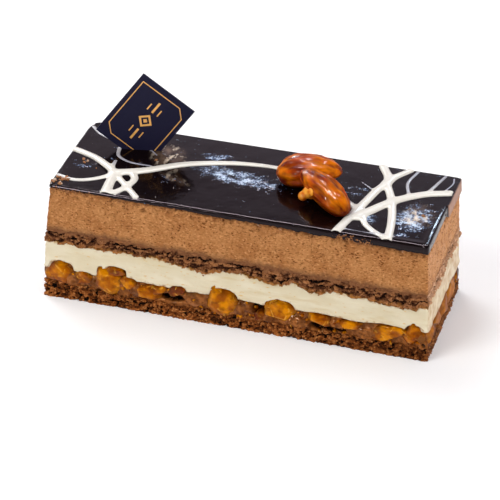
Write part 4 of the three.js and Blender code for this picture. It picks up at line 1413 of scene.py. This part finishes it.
def make_glaze():
    """The poured glaze: a sheet with a rounded lip, and a fine top that carries its waves."""
    lower = JOINT_RINGS["mousse"]
    cut = RIGHT & (FOOT[:, 1] > GLAZE_STEP_Y)
    step = smoothstep(FOOT[:, 1], GLAZE_STEP_Y - GLAZE_STEP_RUN, GLAZE_STEP_Y + GLAZE_STEP_RUN)
    overhang = GLAZE_OVERHANG + GLAZE_STEP_OUT * RIGHT * step
    lip = np.where(cut, GLAZE_CUT_LIP, np.where(BACK, GLAZE_BACK_LIP, 1.0))
    slant = np.where(FRONT, GLAZE_SLANT * (HEIGHT - LIP_DROP - lower), 0)
    edge = side_ring(HEIGHT, overhang - LIP_RUN * lip)[:, :2]
    beside = side_ring(HEIGHT, overhang - LIP_RUN * lip - LIP_SUPPORT)[:, :2]
    level = glaze_surface(*edge.T)
    wobble = 1 + LIP_WOBBLE * ragged(LIP_WOBBLE_STEP, LIP_WOBBLE_SEED)
    rings = [side_ring(lower), side_ring(lower + GLAZE_SOLE, overhang + slant)]
    first_lip = len(rings)
    for run, drop in LIP:
        ring = side_ring(HEIGHT, overhang - run * lip)
        ring[:, 2] = level - drop * lip * wobble
        rings.append(ring)
    top, tops = glaze_top(edge, beside)
    points = np.vstack(rings + [[[0, 0, lower.mean()]], top])
    below = len(rings) * COUNT
    faces = ring_faces(len(rings) - 1, COUNT) + fan_faces(0, below, COUNT, False)
    faces += [[below + 1 + i for i in face] for face in tops]
    mesh = mesh_from("glaze", points, faces)

    cut_rows, lip_rows = np.zeros((2, len(rings), COUNT))
    cut_rows[:, cut] = GLAZE_CUT_RIM
    cut_rows[:first_lip + GLAZE_CUT_ROWS, cut] = 1
    lip_rows[first_lip:] = 1
    for name, marked_rows in (("cut", cut_rows), ("lip", lip_rows)):
        store(mesh, name, np.r_[marked_rows.ravel(), 0, np.zeros(len(top))])
    on_top = points[:, 2] > HEIGHT - LIP_DROP
    for name, patches in (("wrinkle", ROUGH_GLINT_PATCHES), ("smear", SMEARED)):
        store(mesh, name, patch_share(points[:, 0], points[:, 1], patches) * on_top)

    def merge(sheet):
        bmesh.ops.remove_doubles(sheet, verts=sheet.verts, dist=SAME_POINT * MM)

    face_outward(mesh, merge)
    return keep(new_piece("glaze_sheet", mesh, glaze_finish()), "glaze", "glaze")


def spline(path, step):
    """Points along a smooth curve through a path, about one step apart, and each one's share of the way."""
    path = np.array(path, float)
    ends = np.vstack([2 * path[0] - path[1], path, 2 * path[-1] - path[-2]])
    points = []
    for a, b, c, d in zip(ends, ends[1:], ends[2:], ends[3:]):
        t = np.linspace(0, 1, max(2, round(np.linalg.norm(c - b) / step)), endpoint=False)[:, None]
        square, cube = 2 * a - 5 * b + 4 * c - d, 3 * b - a - 3 * c + d
        points.append(0.5 * (2 * b + (c - a) * t + square * t ** 2 + cube * t ** 3))
    points = np.vstack(points + [path[-1:]])
    lengths = np.r_[0, np.cumsum(np.linalg.norm(np.diff(points, axis=0), axis=1))]
    return points, lengths / lengths[-1]


def drizzle_field(x, y):
    """Signed distance to the drizzle's rim, its strokes joined in soft webs, and the local half width."""
    total, girth = np.full(x.shape, STROKE_NONE), np.zeros(x.shape)
    for path, width in STROKES:
        points, share = spline(path, STROKE_SAMPLE)
        radii = (width[0] + (width[1] - width[0]) * share) / 2
        low, high = points.min(axis=0) - STROKE_REACH, points.max(axis=0) + STROKE_REACH
        near = (x > low[0]) & (x < high[0]) & (y > low[1]) & (y < high[1])
        spots = np.column_stack([x[near], y[near]])
        best, wide = np.full(len(spots), np.inf), np.zeros(len(spots))
        for point, radius in zip(points, radii):
            gap = np.hypot(*(spots - point).T) - radius
            closer = gap < best
            best[closer], wide[closer] = gap[closer], radius
        weight = np.exp(-np.clip(best, -STROKE_PULL, STROKE_PULL) / STROKE_WEB)
        total[near] += weight
        girth[near] += weight * wide
    return -STROKE_WEB * np.log(total), girth / total


def four_corners(grid):
    """The values at the four corners of each cell of a grid."""
    return grid[:-1, :-1], grid[1:, :-1], grid[:-1, 1:], grid[1:, 1:]


def softened(grid):
    """A grid with each value made the mean of it and the eight round it."""
    padded = np.pad(grid, 1)
    rows, columns = grid.shape
    return sum(padded[i:i + rows, j:j + columns] for i in range(3) for j in range(3)) / 9


def make_drizzle():
    """White drizzle: low rounded strokes that lie on the glaze and run into each other."""
    x, y = top_grid(STROKE_CELL)
    rim, girth = drizzle_field(x, y)
    slope_y, slope_x = np.gradient(rim, STROKE_CELL)
    inside = inward_distance(x, y)
    middle = sum(four_corners(rim)) / 4
    cells = (middle < 0) & (np.minimum.reduce(four_corners(inside)) > STROKE_INSET)
    touch = np.zeros(x.shape, int)
    for corner in four_corners(touch):
        corner += cells
    on_rim = (touch > 0) & (touch < 4) & (inside > STROKE_RIM_INSET)
    steep = slope_x ** 2 + slope_y ** 2 + FLAT_SLOPE
    pull = np.where(on_rim, np.clip(rim, -STROKE_CELL, STROKE_CELL) / steep, 0)
    x, y = x - pull * slope_x, y - pull * slope_y

    depth = np.clip(-np.where(on_rim, 0, rim) / np.maximum(girth, STROKE_THINNEST), 0, 1)
    dome = np.sqrt(1 - (1 - depth) ** 2)
    rise = (STROKE_LEAST + STROKE_SWELL * girth) * dome
    for _ in range(STROKE_SOFTEN):
        rise = softened(rise)
    height = glaze_height(x, y) + np.where(on_rim, 0, rise) - STROKE_BED
    used = touch > 0
    number = np.cumsum(used.ravel()).reshape(used.shape) - 1
    first, above, beside, across = (corner[cells] for corner in four_corners(number))
    faces = np.column_stack([first, beside, across, above])
    mesh = mesh_from("drizzle", np.column_stack([x[used], y[used], height[used]]), faces.tolist())
    store(mesh, "body", smoothstep(girth[used], *STROKE_BODY))

    def thicken(strokes):
        bmesh.ops.solidify(strokes, geom=strokes.faces, thickness=STROKE_SINK * MM)

    face_outward(mesh, thicken)
    return keep(new_piece("drizzle", mesh, drizzle_finish()), "glaze", "glaze")


def kernel_tree():
    """Shrivelled skin: wrinkles along a kernel push its points in and out, and are kept for the painted shade
    in its grooves.
    """
    tree, source, sink = new_tree("kernel_wrinkles", [(name, "Float") for name in (
        "Wrinkle Size", "Wrinkle Depth", "Length Stretch", "Seed")])
    factors = add_node(tree, "ShaderNodeCombineXYZ", {0: source["Length Stretch"], 1: 1.0, 2: 1.0}).outputs[0]
    feeds = {0: own(tree, "kernel", "FLOAT_VECTOR"), 1: factors}
    place = add_node(tree, "ShaderNodeVectorMath", feeds, operation="MULTIPLY").outputs[0]
    fold = noise_node(tree, source["Wrinkle Size"], place, source["Seed"])
    inward = calc(tree, "MULTIPLY", centred(tree, fold, source["Wrinkle Depth"]), -1.0)
    normal = add_node(tree, "GeometryNodeInputNormal").outputs[0]
    shape = marked(tree, source["Geometry"], "wrinkle", fold)
    return end_tree(tree, pushed(tree, shape, normal, inward), source, sink)


def turned(yaw, pitch, roll):
    """A turn by degrees: roll about X, then pitch up from X, then yaw about Z."""
    yaw, pitch, roll = (math.radians(angle) for angle in (yaw, pitch, roll))
    return Matrix.Rotation(yaw, 3, "Z") @ Matrix.Rotation(-pitch, 3, "Y") @ Matrix.Rotation(roll, 3, "X")


def almond_mesh(name, almond):
    """A ridged, drooping kernel in its place on the glaze, with each point's place in the kernel itself."""
    rows = np.linspace(0, math.pi, ALMOND_ROWS + 1)[1:-1]
    along = np.r_[np.repeat(-np.cos(rows), ALMOND_TURNS), -1, 1]
    round_share = np.r_[np.repeat(np.sin(rows), ALMOND_TURNS), 0, 0]
    around = np.r_[np.tile(np.arange(ALMOND_TURNS) * math.tau / ALMOND_TURNS, len(rows)), 0, 0]
    ridges = 1 + ALMOND_RIDGE * np.cos(ALMOND_RIDGES * around + ALMOND_TWIST * along)
    girth = (1 - almond["taper"] * along) * ridges
    kernel = np.column_stack([
        along * almond["length"] / 2,
        -np.sin(around) * round_share * girth * almond["width"] / 2,
        np.cos(around) * round_share * girth * almond["thickness"] / 2 - almond["droop"] * along ** 2,
    ])
    points = kernel @ np.array(turned(almond["yaw"], almond["pitch"], almond["roll"])).T
    points += [*almond["place"], HEIGHT + ALMOND_REST - points[:, 2].min()]
    ends = len(rows) * ALMOND_TURNS
    faces = ring_faces(len(rows) - 1, ALMOND_TURNS)
    faces += fan_faces(0, ends, ALMOND_TURNS, False)
    faces += fan_faces(ends - ALMOND_TURNS, ends + 1, ALMOND_TURNS, True)
    mesh = mesh_from(name, points, faces)
    store(mesh, "kernel", kernel)
    face_outward(mesh)
    return mesh


def make_almonds():
    """Two whole almonds in thin caramel."""
    finish = almond_finish()
    wrinkles = kernel_tree()
    for name, almond in ALMONDS.items():
        piece = new_piece(f"{name}_kernel", almond_mesh(name, almond), finish)
        keep(run_tree(piece, wrinkles, {**ALMOND_WRINKLES, "Seed": almond["seed"]}), name, name)


def make_caramel_drop():
    """The drop of caramel that set between the almonds: lobes fused into one and softened."""
    lobes = bmesh.new()
    for *centre, radius in CARAMEL_LOBES:
        place = Matrix.Translation(Vector(centre) * MM)
        bmesh.ops.create_icosphere(lobes, subdivisions=DROP_FINENESS, radius=radius * MM, matrix=place)
    finish = amber_finish()
    drop = new_piece("caramel_drop", mesh_of("caramel_drop", lobes), finish)
    fuse = drop.modifiers.new("fuse", "REMESH")
    fuse.mode, fuse.voxel_size = "VOXEL", DROP_CELL * MM
    soften = drop.modifiers.new("soften", "SMOOTH")
    soften.iterations, soften.factor = DROP_SOFTEN_ROUNDS, DROP_SOFTEN
    graph = bpy.context.evaluated_depsgraph_get()
    mesh = bpy.data.meshes.new_from_object(drop.evaluated_get(graph))
    drop.modifiers.clear()
    drop.data = mesh
    mesh.materials.clear()
    mesh.materials.append(finish)
    mesh.polygons.foreach_set("use_smooth", [True] * len(mesh.polygons))
    keep(drop, "almond_front", "almond_front")


def card_matrix():
    """The card's stand: nearly upright, turned in its own plane so that one corner points down."""
    yaw, tip, roll = (math.radians(angle) for angle in (CARD_YAW, 90 - CARD_LEAN, CARD_ROLL))
    stand = Matrix.Rotation(yaw, 4, "Z") @ Matrix.Rotation(tip, 4, "X")
    return Matrix.Translation(Vector(CARD_CENTRE) * MM) @ stand @ Matrix.Rotation(roll, 4, "Z")


def ribbon(path, width):
    """A flat closed band along a ring of points, mitred at its corners, as an outer and an inner loop."""
    path = np.array(path, float)
    loops = []
    for shift in (width / 2, -width / 2):
        loop = []
        for i, point in enumerate(path):
            first = point - path[i - 1]
            second = path[(i + 1) % len(path)] - point
            sides = [np.array([v[1], -v[0]]) / np.linalg.norm(v) for v in (first, second)]
            bisector = sides[0] + sides[1]
            bisector /= np.linalg.norm(bisector)
            loop.append(point + bisector * shift / (bisector @ sides[0]))
        loops.append(np.array(loop))
    return loops


def add_outline(solid, outer, inner, low, high):
    """Adds a band between two loops, or a full plate where there is no inner loop, from low to high."""
    def ring(loop, z):
        return [solid.verts.new((x * MM, y * MM, z * MM)) for x, y in loop]

    def wall(lower, upper):
        for i in range(len(lower)):
            j = (i + 1) % len(lower)
            solid.faces.new([lower[i], lower[j], upper[j], upper[i]])

    if inner is None:
        bottom, top = ring(outer, low), ring(outer, high)
        solid.faces.new(top)
        solid.faces.new(bottom[::-1])
        wall(bottom, top)
        return
    rings = [ring(outer, low), ring(outer, high), ring(inner, high), ring(inner, low)]
    for lower, upper in zip(rings, rings[1:] + rings[:1]):
        wall(lower, upper)


def oblong(left, right, lower, upper):
    """The corners of an oblong, anticlockwise."""
    return [(left, lower), (right, lower), (right, upper), (left, upper)]


def lozenge(reach):
    """The corners of a lozenge, anticlockwise."""
    return [(0, -reach), (reach, 0), (0, reach), (-reach, 0)]


def make_card():
    """The decor card: a navy plate, a foil border with clipped corners and a lozenge between rules."""
    matrix = card_matrix()
    half_x, half_y, half_z = (size / 2 for size in CARD_SIZE)
    plate = bmesh.new()
    add_outline(plate, oblong(-half_x, half_x, -half_y, half_y), None, -half_z, half_z)
    bevel = {"offset": CARD_BEVEL * MM, "segments": CARD_BEVEL_STEPS, "affect": "EDGES"}
    bmesh.ops.bevel(plate, geom=plate.edges, **bevel)
    plate.transform(matrix)
    keep(new_piece("card_plate", mesh_of("card_plate", plate), card_finish()), "card", "card")

    x, y, clip = half_x - BORDER_INSET[0], half_y - BORDER_INSET[1], BORDER_CLIP
    border = [(-x, -y), (x - clip, -y), (x, clip - y), (x, y), (clip - x, y), (-x, y - clip)]
    foil = bmesh.new()
    low, high = half_z - FOIL_HEIGHT, half_z + FOIL_HEIGHT
    add_outline(foil, *ribbon(border, BORDER_WIDTH), low, high)
    add_outline(foil, *ribbon(lozenge(LOZENGE_REACH), LOZENGE_WIDTH), low, high)
    add_outline(foil, lozenge(LOZENGE_HEART), None, low, high)
    for side in (-1, 1):
        for near, far, rise, half in RULES:
            left, right = sorted((side * near, side * far))
            add_outline(foil, oblong(left, right, rise - half, rise + half), None, low, high)
    bmesh.ops.recalc_face_normals(foil, faces=foil.faces)
    foil.transform(matrix)
    keep(new_piece("card_foil", mesh_of("card_foil", foil), foil_finish()), "card")


def strew(name, surface, share, finish, node):
    """Strews crumbs over a piece where share says, as one new piece of a node."""
    density, sizes, tints, seed = CRUMBS[name]
    mesh = surface.data.copy()
    store(mesh, "crumbs", share)
    shapes = crumb_shapes(name, seed)
    crumbs = run_tree(new_piece(name, mesh, finish), STREW, {
        "Shapes": shapes, "Density": density, "Least Size": sizes[0] * MM, "Most Size": sizes[1] * MM,
        "Least Tint": tints[0], "Most Tint": tints[1], "Seed": seed,
    })
    drop_shapes(shapes)
    return keep(crumbs, node, node)


def make_crumbs(layers, core, nut, glaze):
    """Loose crumb: sponge on both sponges, chips of nut in the caramel, and strays under and on the glaze."""
    def on_side(piece):
        return np.abs(values_of(piece, "outward", 3)).max(axis=1)

    def up_side(piece, span):
        return on_side(piece) * smoothstep(values_of(piece, "share", 1)[:, 0], *span)

    for name in ("base_sponge", "thin_sponge"):
        clear = points_of(layers[name])[:, 2] > CRUMB_FLOOR
        strew(f"{name}_crumbs", layers[name], on_side(layers[name]) * clear, LAYER_FINISHES[name], name)
    strew("nut_chips", core, on_side(core), nut, "almond_crunch")
    loose = crumb_finish()
    cream, mousse = layers["cream"], layers["mousse"]
    strew("cream_crumbs", cream, up_side(cream, CREAM_CRUMB_SHARES), loose, "cream")
    spots = points_of(mousse)
    torn = np.maximum(LEAST_TORN, torn_share(spots[:, 0]) * (spots[:, 1] < 0))
    strew("mousse_crumbs", mousse, up_side(mousse, MOUSSE_CRUMB_SHARES) * torn, loose, "mousse")

    spots = points_of(glaze)
    edge = (spots[:, 1] < TORN_FRONT) & (spots[:, 2] < HEIGHT - LIP_DROP / 2)
    strew("torn_crumbs", glaze, torn_share(spots[:, 0]) * edge, loose, "mousse")
    share = np.zeros(len(spots))
    for x, y, radius, amount in GLAZE_CRUMBS:
        far = np.hypot(spots[:, 0] - x, spots[:, 1] - y) / radius
        share = np.maximum(share, amount * fade(far, PATCH_FULL))
    share *= spots[:, 2] > HEIGHT - LIP_DROP
    strew("glaze_crumbs", glaze, share, loose, "glaze")


def make_floor():
    """A pale floor under the bar."""
    floor = bmesh.new()
    bmesh.ops.create_grid(floor, x_segments=FLOOR_CELLS, y_segments=FLOOR_CELLS, size=FLOOR_REACH)
    new_piece("floor", mesh_of("floor", floor), floor_finish())


def make_walls(scene):
    """Soft light from all round: brighter low down and behind the bar."""
    world = bpy.data.worlds.new("studio")
    world.use_nodes = True
    scene.world = world
    tree = world.node_tree
    around = add_node(tree, "ShaderNodeTexCoord").outputs["Generated"]
    way = add_node(tree, "ShaderNodeSeparateXYZ", {0: around}).outputs
    height = ramp(tree, way[2], *WALL_HEIGHTS, *WALL_BRIGHTNESS)
    behind = ramp(tree, way[1], *WALL_DEPTHS)
    strength = calc(tree, "MULTIPLY", height, ramp(tree, behind, 0.0, 1.0, WALL_FRONT_SHARE))
    background = tree.nodes["Background"].inputs
    tree.links.new(mix(tree, behind, tone(249, 251, 255), tone(250, 238, 255)), background["Color"])
    tree.links.new(strength, background["Strength"])


def make_lights(scene):
    """Studio lights, some of which are only mirrored and the others only cast."""
    for name, place, target, size, power, colour, mirrored in LIGHTS:
        lamp = bpy.data.lights.new(name, "AREA")
        lamp.color = colour
        lamp.shape, lamp.size, lamp.size_y, lamp.energy = "RECTANGLE", *size, power
        holder = bpy.data.objects.new(name, lamp)
        holder.location = place
        holder.rotation_euler = (Vector(target) - Vector(place)).to_track_quat("-Z", "Y").to_euler()
        holder.visible_glossy = mirrored
        holder.visible_diffuse = not mirrored
        scene.collection.objects.link(holder)


def make_camera(scene):
    """The photograph's camera."""
    azimuth, elevation = math.radians(CAMERA_AZIMUTH), math.radians(CAMERA_ELEVATION)
    level = math.cos(elevation)
    back = Vector((math.sin(azimuth) * level, -math.cos(azimuth) * level, math.sin(elevation)))
    right = Vector((math.cos(azimuth), math.sin(azimuth), 0))
    up = back.cross(right)
    eye = back * CAMERA_DISTANCE + right * CAMERA_OFFSET[0] + up * CAMERA_OFFSET[1] + Vector(CAMERA_SHIFT)
    lens = bpy.data.cameras.new("camera")
    lens.lens, lens.sensor_width = CAMERA_LENS, CAMERA_SENSOR
    lens.clip_start, lens.clip_end = CAMERA_NEAR, CAMERA_FAR
    camera = bpy.data.objects.new("camera", lens)
    camera.location = eye * MM
    camera.rotation_euler = (-back).to_track_quat("-Z", "Y").to_euler()
    scene.collection.objects.link(camera)
    scene.camera = camera


def make_stage():
    """A pale floor, soft studio light and the photograph's camera."""
    scene = bpy.context.scene
    make_floor()
    make_walls(scene)
    make_lights(scene)
    make_camera(scene)
    scene.view_settings.view_transform = "Standard"


layers = make_layers()
core, nut = make_crunch()
glaze = make_glaze()
make_drizzle()
make_almonds()
make_caramel_drop()
make_card()
make_crumbs(layers, core, nut, glaze)
make_stage()
